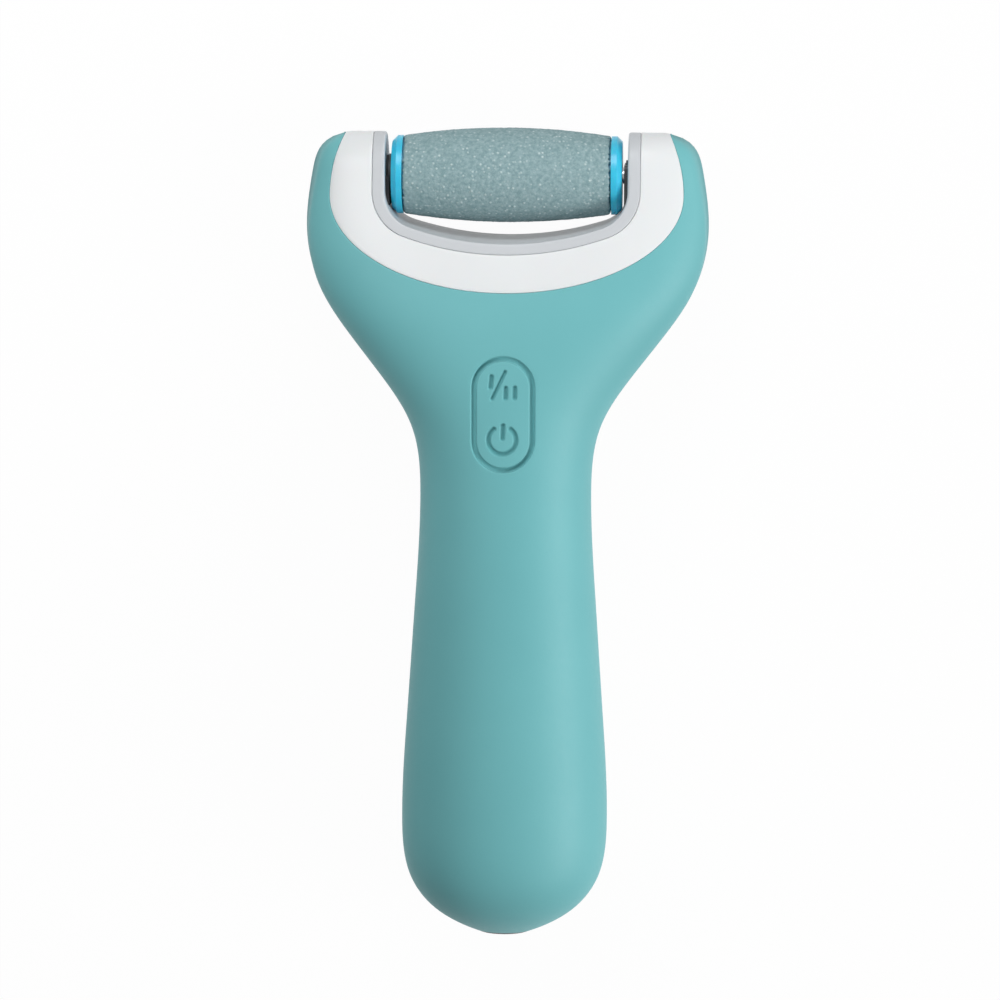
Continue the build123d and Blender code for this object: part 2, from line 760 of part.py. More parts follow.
def shaft_seal():
    """Lip seal round the hub's journal, on a cheek with a recess for the hub's flange."""
    face = (-OPENING_HALF, FLANGE_X[0] - 0.1)
    seal = ring_x(3.2, 2.0 + RUNNING, (-24.6, face[1] - 0.2))
    seal = seal + (ring_x(3.8, 2.0 + RUNNING, face) & CHEEK_PRISM)
    seal = seal + cheek((-OPENING_HALF, -CAP_FACE - 0.4), 0)
    seal -= rod_x(FLANGE_RADIUS + 0.15, (face[1], -22), ROLLER_ALONG, ROLLER_Z)
    return seal - rod_x(2.0 + RUNNING, (-25, -22), ROLLER_ALONG, ROLLER_Z)


# Roller cartridge


def turned(points):
    """A body of revolution about the roller axis, from (x, radius) points and arcs."""
    profile = Plane(
        origin=(0, at(ROLLER_ALONG), ROLLER_Z), x_dir=(1, 0, 0), z_dir=(0, -1, 0)
    )
    axis = Axis((0, at(ROLLER_ALONG), ROLLER_Z), (1, 0, 0))
    return revolve(profile * points, axis)


def abrasive_sleeve():
    """Barrel-crowned sleeve, thickest in the middle."""
    with BuildSketch() as sketch:
        with BuildLine():
            crown = ThreePointArc(
                (-SLEEVE_HALF, ROLLER_END), (0, ROLLER_CROWN), (SLEEVE_HALF, ROLLER_END)
            )
            Polyline(
                crown @ 1, (SLEEVE_HALF, SLEEVE_BORE), (-SLEEVE_HALF, SLEEVE_BORE), crown @ 0
            )
        make_face()
    return turned(sketch.sketch)


def roller_core():
    """Plastic tube with a web across its middle."""
    core = ring_x(SLEEVE_BORE, CORE_BORE, (-SLEEVE_HALF, SLEEVE_HALF))
    return core + rod_x(CORE_BORE, (-0.8, 0.8), ROLLER_ALONG, ROLLER_Z)


def end_cap(side):
    """Coloured end cap with a chamfered rim and a spigot in the core."""
    inner = side * SLEEVE_HALF
    outer = side * (SLEEVE_HALF + CAP_THICK)
    cap = rod_x(CAP_RADIUS, (inner, outer), ROLLER_ALONG, ROLLER_Z)
    rim = cap.edges().filter_by(GeomType.CIRCLE).sort_by(Axis.X)[-1 if side > 0 else 0]
    cap = chamfer(rim, 1.0)
    spigot = (side * (SLEEVE_HALF - CAP_SPIGOT), side * (SLEEVE_HALF + 0.5))
    return cap + rod_x(CORE_BORE, spigot, ROLLER_ALONG, ROLLER_Z)


def drive_end_cap():
    return end_cap(-1) - hexagon(HEX_FLATS + 0.1, (-CAP_FACE - 1, -18.8))


def idle_end_cap():
    return end_cap(1) - rod_x(PIN_SOCKET, (19.9, CAP_FACE + 1), ROLLER_ALONG, ROLLER_Z)


# Release catch


def catch_slot():
    """Slot through the back of the arm in which the release slider travels."""
    ends = (SLIDE_X[0] - 0.3, SLIDE_X[1] + 0.3 + CATCH_TRAVEL)
    return slab(ends, (at(145.9), at(152.3)), (-REACH, ROLLER_Z - 2))


def release_pin():
    """Sprung pin with a tapered tip in the roller's idle cap."""
    shoulder = CAP_FACE + 0.1
    pin = rod_x(PIN_RADIUS, (shoulder, COLLAR_X[0]), ROLLER_ALONG, ROLLER_Z)
    tip = rod_x(1.2, (shoulder - 1.9, shoulder), ROLLER_ALONG, ROLLER_Z)
    tip = chamfer(tip.edges().filter_by(GeomType.CIRCLE).sort_by(Axis.X)[:1], 0.5)
    pin = pin + tip + rod_x(2.0, COLLAR_X, ROLLER_ALONG, ROLLER_Z)
    return pin + rod_x(1.0, (COLLAR_X[0], CAGE_X[1] - 0.3), ROLLER_ALONG, ROLLER_Z)


def pin_spring():
    """Compression spring behind the pin's collar."""
    wire = 0.2
    height = CAGE_X[0] - COLLAR_X[1] - 2 * wire
    place = Plane(
        origin=(COLLAR_X[1] + wire, at(ROLLER_ALONG), ROLLER_Z), x_dir=(0, 1, 0), z_dir=(1, 0, 0)
    )
    path = place * Helix(height / 3, height, 1.5)
    return sweep(Plane(path @ 0, z_dir=path % 0) * Circle(wire), path)


def pin_guide():
    """Guide for the pin: flat-topped cheek in the opening, sleeve, and a cage for the spring."""
    guide = cheek((CAP_FACE + 0.4, OPENING_HALF), 2.2)
    guide = guide + rod_x(3.0, (OPENING_HALF - 0.5, LINER_HALF), ROLLER_ALONG, ROLLER_Z)
    cage = slab(
        (LINER_HALF, CAGE_X[1]),
        (at(ROLLER_ALONG - 2.8), at(ROLLER_ALONG + 2.8)),
        (ROLLER_Z - 1.5, ROLLER_Z + 1.5),
    )
    room = slab(
        (LINER_HALF + 0.8, CAGE_X[0]),
        (at(ROLLER_ALONG - 2.2), at(ROLLER_ALONG + 2.2)),
        (0, REACH),
    )
    guide = guide + (cage - room)
    guide -= rod_x(PIN_RADIUS + RUNNING, (22, CAGE_X[0]), ROLLER_ALONG, ROLLER_Z)
    return guide - rod_x(1.0 + RUNNING, (22, 40), ROLLER_ALONG, ROLLER_Z)


def release_slider():
    """Thumb slide on the back of the arm, with a fork that pulls the pin's collar."""
    pad = slab(SLIDE_X, (at(146.2), at(152.0)), (-REACH, ROLLER_Z))
    pad = (OUTER - envelope(1.8)) & pad
    fork = slab(FORK_X, (at(ROLLER_ALONG - 2.1), at(ROLLER_ALONG + 2.1)), (7.5, 15.0))
    return pad + fork - rod_x(PIN_RADIUS, FORK_X, ROLLER_ALONG, ROLLER_Z)


PARTS = {
    "front_shell": front_shell,
    "back_shell": back_shell,
    "front_fascia": front_fascia,
    "back_fascia": back_fascia,
    "saddle_liner": saddle_liner,
    "shell_screws": shell_screws,
    "button_pad": button_pad,
    "button_seal": button_seal,
    "rocker_lever": rocker_lever,
    "circuit_board": circuit_board,
    "board_screws": board_screws,
    "tactile_switches": tactile_switches,
    "board_components": board_components,
    "battery_cell": battery_cell,
    "charging_socket": charging_socket,
    "socket_pin": socket_pin,
    "motor_can": motor_can,
    "motor_end_bell": motor_end_bell,
    "motor_shaft": motor_shaft,
    "motor_pinion": motor_pinion,
    "gearbox_frame": gearbox_frame,
    "gear_cover": gear_cover,
    "gearbox_screws": gearbox_screws,
    "compound_gear": compound_gear,
    "compound_axle": lambda: axle(COMPOUND_AT, MOTOR_FACE_X - 0.3),
    "inner_idler_gear": lambda: idler_gear(INNER_IDLER_PHASE, INNER_IDLER_AT),
    "inner_idler_axle": lambda: axle(INNER_IDLER_AT, FRAME_X[1]),
    "outer_idler_gear": lambda: idler_gear(OUTER_IDLER_PHASE, OUTER_IDLER_AT),
    "outer_idler_axle": lambda: axle(OUTER_IDLER_AT, FRAME_X[1]),
    "drive_gear": drive_gear,
    "drive_hub": drive_hub,
    "drive_bush": drive_bush,
    "shaft_seal": shaft_seal,
    "drive_end_cap": drive_end_cap,
    "idle_end_cap": idle_end_cap,
    "roller_core": roller_core,
    "abrasive_sleeve": abrasive_sleeve,
    "pin_guide": pin_guide,
    "release_pin": release_pin,
    "pin_spring": pin_spring,
    "release_slider": release_slider,
}

os.makedirs("parts", exist_ok=True)
for name, make in PARTS.items():
    shape = make()
    if isinstance(shape, list):
        shape = Compound(children=shape)
    export_step(shape, f"parts/{name}.step")
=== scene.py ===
"""Electric callus remover: the looks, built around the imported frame.

Lengths are in millimetres, and "along" is the distance from the butt, until a mesh is made in metres.
"""

import json
import math

import bmesh
import bpy
import numpy as np
from mathutils import Matrix, Vector


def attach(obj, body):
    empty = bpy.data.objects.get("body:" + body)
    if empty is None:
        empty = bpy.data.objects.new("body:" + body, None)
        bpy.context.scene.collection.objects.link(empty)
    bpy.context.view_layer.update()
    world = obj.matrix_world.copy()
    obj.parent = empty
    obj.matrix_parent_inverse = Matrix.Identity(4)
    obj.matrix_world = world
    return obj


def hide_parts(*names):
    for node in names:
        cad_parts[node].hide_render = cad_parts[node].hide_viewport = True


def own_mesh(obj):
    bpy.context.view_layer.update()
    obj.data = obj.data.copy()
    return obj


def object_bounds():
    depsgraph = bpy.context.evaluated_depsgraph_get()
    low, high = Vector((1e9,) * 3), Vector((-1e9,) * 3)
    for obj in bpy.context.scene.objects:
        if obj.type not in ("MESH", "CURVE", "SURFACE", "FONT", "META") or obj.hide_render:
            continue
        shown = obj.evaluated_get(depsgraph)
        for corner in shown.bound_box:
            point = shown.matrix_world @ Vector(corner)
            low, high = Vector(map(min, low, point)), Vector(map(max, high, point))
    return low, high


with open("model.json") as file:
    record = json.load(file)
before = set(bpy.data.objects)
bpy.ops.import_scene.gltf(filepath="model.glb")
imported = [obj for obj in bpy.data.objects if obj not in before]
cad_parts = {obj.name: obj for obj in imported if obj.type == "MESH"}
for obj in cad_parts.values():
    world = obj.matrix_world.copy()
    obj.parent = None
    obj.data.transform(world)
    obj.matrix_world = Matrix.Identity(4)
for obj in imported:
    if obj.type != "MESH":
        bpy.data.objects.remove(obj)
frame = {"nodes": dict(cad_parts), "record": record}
CAD_BOX = [list(corner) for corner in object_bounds()]
MM = 0.001
BUTT = CAD_BOX[0][1] / MM

# ---------------------------------------------------------------- housing form, with the CAD loft's sections

# Distance from the butt, half width, half depth, mid height, fullness across
SECTIONS = np.array([
    (0.0, 4.9, 4.6, 16.6, 0.56),
    (0.9, 7.2, 6.4, 16.6, 0.56),
    (2.6, 10.6, 9.3, 16.7, 0.56),
    (5.4, 14.5, 12.6, 16.8, 0.57),
    (11.0, 18.5, 15.8, 16.95, 0.58),
    (23.0, 20.2, 17.0, 17.0, 0.60),
    (44.0, 19.2, 16.3, 16.9, 0.60),
    (66.0, 17.7, 15.1, 16.8, 0.60),
    (87.0, 16.7, 14.1, 16.6, 0.60),
    (100.2, 18.4, 14.0, 16.3, 0.60),
    (109.7, 24.1, 14.2, 15.9, 0.62),
    (118.7, 31.1, 14.6, 15.0, 0.65),
    (127.0, 36.4, 13.8, 14.2, 0.70),
    (138.0, 39.1, 11.2, 13.7, 0.74),
    (149.1, 38.1, 8.4, 13.5, 0.78),
    (153.4, 37.0, 7.2, 13.5, 0.80),
    (156.0, 34.8, 4.8, 13.5, 0.82),
    (157.3, 31.5, 1.9, 13.5, 0.84),
    (157.5, 30.4, 0.3, 13.5, 0.85),
])
FULLNESS_DEEP = 0.60
PARTING_Z = 13.5
TIP = SECTIONS[-1][0]
TIP_INSET = 0.03
STATION_COUNT = 6001
SLOPE_STEP = 0.02
HALVINGS = 40

# Saddle outlines: half width, the floor's distance from the butt, radii of the floor's arc and its corners
OPENING = (23.5, 136.8, 60.0, 7.0)
LINER = (25.9, 134.6, 61.0, 9.0)

# Fascia, button and roller
FASCIA_CENTRE, FASCIA_HALF, FASCIA_DROP = 145.5, 34.3, 18.1
FASCIA_RISE, FASCIA_DRAW = 14.0, 3.9
BUTTON_ALONG, BUTTON_LENGTH, BUTTON_WIDTH, BUTTON_GROOVE = 104.2, 20.6, 10.4, 0.9
ROLLER_ALONG, ROLLER_Z, ROLLER_CROWN, ROLLER_END, SLEEVE_HALF = 149.15, 13.5, 9.25, 7.7, 20.2
FRONT, BACK = 1, -1


def natural_spline(knots, values, at_points):
    """Natural cubic spline through values at knots, evaluated at at_points."""
    gaps = np.diff(knots)
    count = len(knots)
    matrix = np.eye(count)
    right = np.zeros(count)
    for i in range(1, count - 1):
        matrix[i, i - 1 : i + 2] = gaps[i - 1], 2 * (gaps[i - 1] + gaps[i]), gaps[i]
        slope_after = (values[i + 1] - values[i]) / gaps[i]
        slope_before = (values[i] - values[i - 1]) / gaps[i - 1]
        right[i] = 6 * (slope_after - slope_before)
    bend = np.linalg.solve(matrix, right)
    i = np.clip(np.searchsorted(knots, at_points) - 1, 0, count - 2)
    h = gaps[i]
    a = (knots[i + 1] - at_points) / h
    b = (at_points - knots[i]) / h
    curve = ((a**3 - a) * bend[i] + (b**3 - b) * bend[i + 1]) * h**2 / 6
    return a * values[i] + b * values[i + 1] + curve


def build_stations():
    """Dense table of the sections' values, smooth along the chord of their outline."""
    steps = np.linalg.norm(np.diff(SECTIONS[:, :3], axis=0), axis=1)
    knots = np.concatenate([[0], np.cumsum(steps)])
    fine = np.linspace(0, knots[-1], STATION_COUNT)
    return [natural_spline(knots, SECTIONS[:, k], fine) for k in range(5)]


STATIONS = build_stations()


def last_true(test, low, high):
    """Where a test that holds at low stops holding on the way to high, found by halving."""
    for _ in range(HALVINGS):
        middle = (low + high) / 2
        holds = test(middle)
        low, high = np.where(holds, middle, low), np.where(holds, high, middle)
    return (low + high) / 2


def station(along):
    """Half width, half depth, mid height and fullness at a distance from the butt."""
    return [np.interp(along, STATIONS[0], STATIONS[k]) for k in range(1, 5)]


# A quarter of a section is one cubic curve from the side, at t = 0, to the middle of a face, at t = 1


def quarter_terms(t):
    return (1 - t) ** 3, 3 * (1 - t) ** 2 * t, 3 * (1 - t) * t**2, t**3


def quarter_width(t, fullness):
    """Share of the half width."""
    b0, b1, b2, _ = quarter_terms(t)
    return b0 + b1 + fullness * b2


def quarter_depth(t):
    """Share of the half depth."""
    _, b1, b2, b3 = quarter_terms(t)
    return FULLNESS_DEEP * b1 + b2 + b3


QUARTER_T = np.linspace(0, 1, 2001)
QUARTER_Z = quarter_depth(QUARTER_T)


def around_point(along, turn, face):
    """Point on the housing's form. turn runs from 0 at the right over 1 in the middle to 2 at the left."""
    half_width, half_depth, mid, fullness = station(along)
    swing = 1 - np.abs(1 - turn)
    t = np.abs(swing)
    x = np.where(turn <= 1, 1, -1) * half_width * quarter_width(t, fullness)
    z = mid + face * np.sign(swing) * half_depth * quarter_depth(t)
    return np.stack([x, along, z], axis=-1)


def parting_turn(along, face):
    """Turn at which the form crosses the parting plane."""
    _, half_depth, mid, _ = station(along)
    share = face * (PARTING_Z - mid) / half_depth
    return np.sign(share) * np.interp(np.abs(share), QUARTER_Z, QUARTER_T)


def height(x, along, face):
    """Height of the form above or below a plan position."""
    half_width, half_depth, mid, fullness = station(along)
    goal = np.clip(np.abs(x) / half_width, 0, 1)
    t = last_true(lambda t: quarter_width(t, fullness) > goal, 0.0, 1.0)
    return mid + face * half_depth * quarter_depth(t)


def plan_point(x, along, face, depth=0.0):
    """Point over a plan position, sunk by depth along the surface normal."""
    x, along, depth = np.broadcast_arrays(*(np.asarray(value, float) for value in (x, along, depth)))
    along = np.minimum(along, TIP - SLOPE_STEP)
    z = height(x, along, face)
    rise_x = height(x + SLOPE_STEP, along, face) - height(x - SLOPE_STEP, along, face)
    rise_y = height(x, along + SLOPE_STEP, face) - height(x, along - SLOPE_STEP, face)
    slope_x, slope_y = rise_x / (2 * SLOPE_STEP), rise_y / (2 * SLOPE_STEP)
    normal = np.stack([-face * slope_x, -face * slope_y, np.ones_like(z)], axis=-1)
    normal /= np.linalg.norm(normal, axis=-1, keepdims=True)
    normal[..., 2] *= face
    return np.stack([x, along, z], axis=-1) - normal * depth[..., None]


# ---------------------------------------------------------------- outlines seen from the front


def spaced_along(points, fractions):
    """Points of a polyline at fractions of its length."""
    steps = np.linalg.norm(np.diff(points, axis=0), axis=1)
    run = np.concatenate([[0], np.cumsum(steps)]) / steps.sum()
    return np.stack([np.interp(fractions, run, points[:, k]) for k in range(2)], axis=-1)


def arc(centre, radius, start, end, count=60):
    """Points of an arc between two angles in degrees."""
    angles = np.radians(np.linspace(start, end, count))
    return np.stack([centre[0] + radius * np.cos(angles), centre[1] + radius * np.sin(angles)], axis=-1)


def saddle_floor(outline):
    """Rounded floor of a saddle outline between its two straight sides, right to left."""
    half, floor, big, corner = outline
    x = half - corner
    y = floor + big - math.sqrt((big - corner) ** 2 - x**2)
    lean = math.degrees(math.atan2(y - floor - big, x))
    right = arc((x, y), corner, 0, lean)
    base = arc((0, floor + big), big, lean, -180 - lean, 240)
    left = right[::-1] * (-1, 1)
    return np.concatenate([right, base[1:-1], left])


def fascia_bow():
    """Lower half ellipse of the fascia's outline, right to left."""
    angles = np.radians(np.linspace(0, -180, 400))
    return np.stack([FASCIA_HALF * np.cos(angles), FASCIA_CENTRE + FASCIA_DROP * np.sin(angles)], axis=-1)


def fascia_side(along):
    """Half width of the fascia on the arms, which draws in a little toward the tips."""
    return FASCIA_HALF - FASCIA_DRAW * ((along - FASCIA_CENTRE) / FASCIA_RISE) ** 2


def grown(points, distance):
    """A right-to-left outline moved outward, away from the opening, by a distance."""
    tangent = np.gradient(points, axis=0)
    tangent /= np.linalg.norm(tangent, axis=1, keepdims=True)
    return points + distance * np.stack([-tangent[:, 1], tangent[:, 0]], axis=-1)


def stadium_distance(x, along):
    """Distance of a point inside the button's outline from the edge, negative outside."""
    reach = (BUTTON_LENGTH - BUTTON_WIDTH) / 2
    over = np.maximum(np.abs(along - BUTTON_ALONG) - reach, 0)
    return BUTTON_WIDTH / 2 - np.hypot(x, over)


# ---------------------------------------------------------------- meshes


def mesh_object(name, patches, weld=0.002, facing=0):
    """One mesh from grids of points, welded where they meet. facing is FRONT or BACK for an open shell."""
    bm = bmesh.new()
    for points in patches:
        rows, columns = points.shape[:2]
        verts = [[bm.verts.new((p[0] * MM, (p[1] + BUTT) * MM, p[2] * MM)) for p in row] for row in points]
        for i in range(rows - 1):
            for j in range(columns - 1):
                corners = (verts[i][j], verts[i][j + 1], verts[i + 1][j + 1], verts[i + 1][j])
                bm.faces.new(corners[::-1] if facing == FRONT else corners)
    bmesh.ops.remove_doubles(bm, verts=bm.verts, dist=weld * MM)
    bmesh.ops.dissolve_degenerate(bm, edges=bm.edges, dist=weld * MM / 2)
    if not facing:
        bmesh.ops.recalc_face_normals(bm, faces=bm.faces)
    mesh = bpy.data.meshes.new(name)
    bm.to_mesh(mesh)
    bm.free()
    mesh.shade_smooth()
    piece = bpy.data.objects.new(name, mesh)
    bpy.context.scene.collection.objects.link(piece)
    return piece


def thicken(piece, thickness):
    """Gives an open shell a wall behind its surface."""
    solid = piece.modifiers.new("wall", "SOLIDIFY")
    solid.thickness = thickness * MM
    solid.offset = -1
    return piece


def finish_piece(piece, body, slot, replaced, material=None):
    """Gives a piece its material, by default its slot's, attaches it to its body and hides the node that it
    replaces.
    """
    piece.data.materials.append(material or MATERIALS[slot])
    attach(piece, body)
    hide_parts(replaced)
    return piece


def rounded_edge(radius, depth, steps=5):
    """Rows of (distance in from the edge, depth) down a rounded edge and its wall."""
    angles = np.radians(np.linspace(0, 90, steps))
    rows = [(radius * (1 - math.sin(a)), radius * (1 - math.cos(a))) for a in angles]
    rows += [(0.0, (radius + depth) / 2), (0.0, depth)]
    return rows


# Teal housing: rows across the handle, then rows that turn into the fascia's outline

BUTT_ROW, WINDOW_ROW, NECK_ROW = 12.0, 88.0, 118.0
COLUMNS = 112
HEAD_ROWS = 49
EDGE_ROUND = 0.16
SOCKET_RADIUS = 5.35
EDGE_DEPTH = 1.2

# The back's wall is thin, so that its inner side stays out of the screw wells
HOUSING_WALL = {FRONT: 1.1, BACK: 0.45}


def socket_start():
    """Distance from the butt at which the form is just deeper than the socket insert."""
    butt = STATIONS[0] < BUTT_ROW
    return float(np.interp(SOCKET_RADIUS, STATIONS[2][butt], STATIONS[0][butt]))


def neck_grid(face):
    """Rows from the socket to the head, close together on the round butt and beside the button."""
    start = socket_start()
    butt = start + (BUTT_ROW - start) * np.linspace(0, 1, 19) ** 1.6
    handle = np.arange(BUTT_ROW + 1, WINDOW_ROW, 1.25)
    rows = np.concatenate([butt, handle, np.linspace(WINDOW_ROW, NECK_ROW, 31)])
    share = np.linspace(0, 1, COLUMNS + 1)
    grid = []
    for along in rows:
        edge = parting_turn(along, face)
        grid.append(around_point(np.full_like(share, along), edge + (2 - 2 * edge) * share, face))
    return np.array(grid), rows


def turn_at(x, along):
    """Turn of the right half at which the form's width is x."""
    half_width, _, _, fullness = station(along)
    goal = np.clip(x / half_width, 0, 1)
    return last_true(lambda t: quarter_width(t, fullness) > goal, 0.0, 1.0)


def fascia_end():
    """Distance from the butt at which the fascia's side reaches the housing's edge."""
    return float(last_true(lambda along: station(along)[0] > fascia_side(along), FASCIA_CENTRE, TIP))


def fascia_outline(distance):
    """The whole fascia outline grown by a distance, from the right arm's edge to the left's."""
    end = fascia_end()
    sides = np.linspace(end, FASCIA_CENTRE, 80)[:-1]
    right = np.stack([fascia_side(sides), sides], axis=-1)
    left = right[::-1] * (-1, 1)
    return grown(np.concatenate([right, fascia_bow(), left]), distance)


def head_grid(face):
    """Rows that turn from straight across the neck to the fascia's outline."""
    share = np.linspace(0, 1, COLUMNS + 1)
    neck_edge = float(parting_turn(np.array(NECK_ROW), face))
    neck = np.stack([np.full_like(share, NECK_ROW), neck_edge + (2 - 2 * neck_edge) * share], axis=-1)
    outline = spaced_along(fascia_outline(EDGE_ROUND), share)
    turn = turn_at(np.abs(outline[:, 0]), outline[:, 1])
    bow = np.stack([outline[:, 1], np.where(outline[:, 0] > 0, turn, 2 - turn)], axis=-1)
    rows = np.linspace(0, 1, HEAD_ROWS)
    end = fascia_end()
    side_along = NECK_ROW + rows * (end - NECK_ROW)
    side_turn = parting_turn(side_along, face)
    bow[0] = (end, side_turn[-1])
    bow[-1] = (end, 2 - side_turn[-1])
    grid = []
    for v, along, turn in zip(rows, side_along, side_turn):
        right = np.array([along, turn])
        left = np.array([along, 2 - turn])
        u = share[:, None]
        corners = (1 - v) * ((1 - u) * neck[0] + u * neck[-1]) + v * ((1 - u) * bow[0] + u * bow[-1])
        flat = (1 - v) * neck + v * bow + (1 - u) * right + u * left - corners
        grid.append(around_point(flat[:, 0], flat[:, 1], face))
    return np.array(grid)


def fascia_rim(face):
    """The housing's rounded edge and step down round the fascia."""
    share = np.linspace(0, 1, COLUMNS + 1)
    rim = []
    for inset, depth in rounded_edge(EDGE_ROUND, EDGE_DEPTH):
        line = spaced_along(fascia_outline(inset), share)
        rim.append(plan_point(line[:, 0], line[:, 1], face, depth))
    return np.array(rim)


WINDOW_COLUMNS = 14
GROOVE_ROUND = 0.3
GROOVE_WALL = 1.5


def stadium_ring(grow, directions):
    """Points of the button's outline grown by a distance, one in each direction from its centre."""
    reach = (BUTTON_LENGTH - BUTTON_WIDTH) / 2
    radius = BUTTON_WIDTH / 2 + grow

    def within(out):
        over = np.maximum(np.abs(directions[:, 1] * out) - reach, 0)
        return np.hypot(directions[:, 0] * out, over) < radius

    out = last_true(within, 0.0, 2 * BUTTON_LENGTH)
    return directions * out[:, None] + (0, BUTTON_ALONG)


def button_window(grid, rows):
    """Splits the front grid round a window over the button and fills the window up to the opening."""
    first = int(np.argmin(np.abs(rows - WINDOW_ROW)))
    last = len(rows) - 1
    left = COLUMNS // 2 - WINDOW_COLUMNS
    right = COLUMNS // 2 + WINDOW_COLUMNS
    keep = [grid[: first + 1], grid[first:, : left + 1], grid[first:, right:]]
    frame_line = np.concatenate([
        grid[first, left:right],
        grid[first:last, right],
        grid[last, right:left:-1],
        grid[last:first:-1, left],
        grid[first, left : left + 1],
    ])
    plan = frame_line[:, :2]
    directions = plan - (0, BUTTON_ALONG)
    directions = directions / np.linalg.norm(directions, axis=1, keepdims=True)
    opening = stadium_ring(BUTTON_GROOVE + GROOVE_ROUND, directions)
    rings = [frame_line]
    for share in np.linspace(0, 1, 11)[1:]:
        ring = plan + (opening - plan) * share
        rings.append(plan_point(ring[:, 0], ring[:, 1], FRONT))
    for inset, depth in rounded_edge(GROOVE_ROUND, GROOVE_WALL, 7)[1:]:
        ring = stadium_ring(BUTTON_GROOVE + inset, directions)
        rings.append(plan_point(ring[:, 0], ring[:, 1], FRONT, depth))
    return keep + [np.array(rings)]


# Screw wells in the back, and the slot of the release catch

# Distance off the middle, distance from the butt and height of the seat of each pair of screws
SCREW_PAIRS = ((11.0, 15.5, 6.4), (11.8, 101.5, 7.9))
SCREW_SEATS = [((side * x, along), seat) for x, along, seat in SCREW_PAIRS for side in (1, -1)]
WELL_RADIUS = 2.5
WELL_ROUND = 0.25
SHANK_ROOM = 1.3
SLOT_SPOT = (29.82, 149.0)
SLOT_HALF = (3.22, 3.1)
SLOT_ROUND = 0.06
SLOT_WALL = 0.45

# How far beyond an opening's wall the old faces go, and the least area that a step of their border sweeps
WELL_CLEAR, SLOT_CLEAR = 0.8, 0.12
WIDEST_OPENING = 6.0
ON_SURFACE = 0.02
LEAST_SWEEP = 0.02


def well_reach(directions):
    """Distance from the centre of a well to its wall in each direction."""
    return np.full(len(directions), WELL_RADIUS)


def slot_reach(directions):
    """Distance from the centre of the slot to its wall in each direction."""
    return (SLOT_HALF / np.maximum(np.abs(directions), 1e-6)).min(axis=1)


def mouth(plan_at, radius):
    """Rounded edge at which an opening meets the back's surface."""
    rings = []
    for inset, depth in rounded_edge(radius, 0)[:-2]:
        plan = plan_at(inset)
        rings.append(np.column_stack([plan, height(*plan.T, BACK) + depth]))
    return rings


def well_lining(seat):
    """Rounded mouth, straight wall, flat seat under the screw's head and the hole for its shank."""

    def lining(plan_at):
        rings = mouth(plan_at, WELL_ROUND)
        shank = SHANK_ROOM / WELL_RADIUS
        for share, z in ((1, seat), (shank, seat), (shank, seat + 2)):
            plan = plan_at(0, share)
            rings.append(np.column_stack([plan, np.full(len(plan), z)]))
        return rings

    return lining


def slot_lining(plan_at):
    """Rounded mouth and a short straight wall."""
    rings = mouth(plan_at, SLOT_ROUND)
    return rings + [rings[-1] + (0, 0, SLOT_WALL - SLOT_ROUND)]


def swept_area(start, end):
    """Twice the area that a step from start to end sweeps round the centre."""
    return start[0] * end[1] - start[1] * end[0]


def on_surface(vertex):
    """Whether a vertex is on the back's surface, and not on a rounded edge or a wall."""
    return abs(vertex.co.z / MM - height(vertex.co.x / MM, vertex.co.y / MM - BUTT, BACK)) < ON_SURFACE


def faces_near(offset, reach, clear):
    """Faces within clear of an opening. offset holds the place of each vertex from the opening's centre."""
    near = set()
    for vertex, off in offset.items():
        size = math.hypot(*off)
        if size < WIDEST_OPENING and size < reach(off[None] / size)[0] + clear and on_surface(vertex):
            near.add(vertex)
    return {face for vertex in near for face in vertex.link_faces}


def steady_border(inside, offset):
    """Adds faces to inside until its border doesn't turn back. Returns the border and its sense of turning."""
    while True:
        edges = [edge for face in inside for edge in face.edges]
        rim = [loop for edge in edges for loop in edge.link_loops if loop.face not in inside]
        follow = {loop.link_loop_next.vert: loop.vert for loop in rim}
        sweep = [swept_area(offset[loop.link_loop_next.vert], offset[loop.vert]) for loop in rim]
        sense = np.sign(np.sum(sweep))
        folded = {loop.face for loop, swept in zip(rim, sweep) if swept * sense < LEAST_SWEEP}
        if not folded:
            break
        inside |= folded
    border = [min(follow, key=lambda vertex: vertex.index)]
    while follow[border[-1]] is not border[0]:
        border.append(follow[border[-1]])
    return border, sense


def ring_directions(places, sense, corners):
    """One direction for each place of a border, spread like the places, and one exactly at each corner."""
    run = np.cumsum(np.linalg.norm(places - np.roll(places, 1, 0), axis=1))
    own = np.unwrap(np.arctan2(places[:, 1], places[:, 0]))
    even = sense * 2 * math.pi * run / run[-1]
    angle = even + np.mean(own - even)
    directions = np.stack([np.cos(angle), np.sin(angle)], axis=-1)
    for corner in corners:
        aim = np.array(corner) / math.hypot(*corner)
        directions[np.argmax(directions @ aim)] = aim
    return directions


def pierced(piece, centre, reach, lining, clear, corners=()):
    """Opens the back's surface round a centre, out to the reach in each direction, and lines the opening."""
    bm = bmesh.new()
    bm.from_mesh(piece.data)
    offset = {v: np.array([v.co.x / MM, v.co.y / MM - BUTT]) - centre for v in bm.verts}
    inside = faces_near(offset, reach, clear)
    border, sense = steady_border(inside, offset)
    directions = ring_directions(np.array([offset[v] for v in border]), sense, corners)
    span = reach(directions)[:, None]
    bmesh.ops.delete(bm, geom=list(inside), context="FACES")
    last = border
    for ring in lining(lambda grow, share=1: centre + directions * (span * share + grow)):
        verts = [bm.verts.new((x * MM, (y + BUTT) * MM, z * MM)) for x, y, z in ring]
        for i in range(len(verts)):
            j = (i + 1) % len(verts)
            bm.faces.new((last[i], last[j], verts[j], verts[i])).smooth = True
        last = verts
    bm.to_mesh(piece.data)
    bm.free()


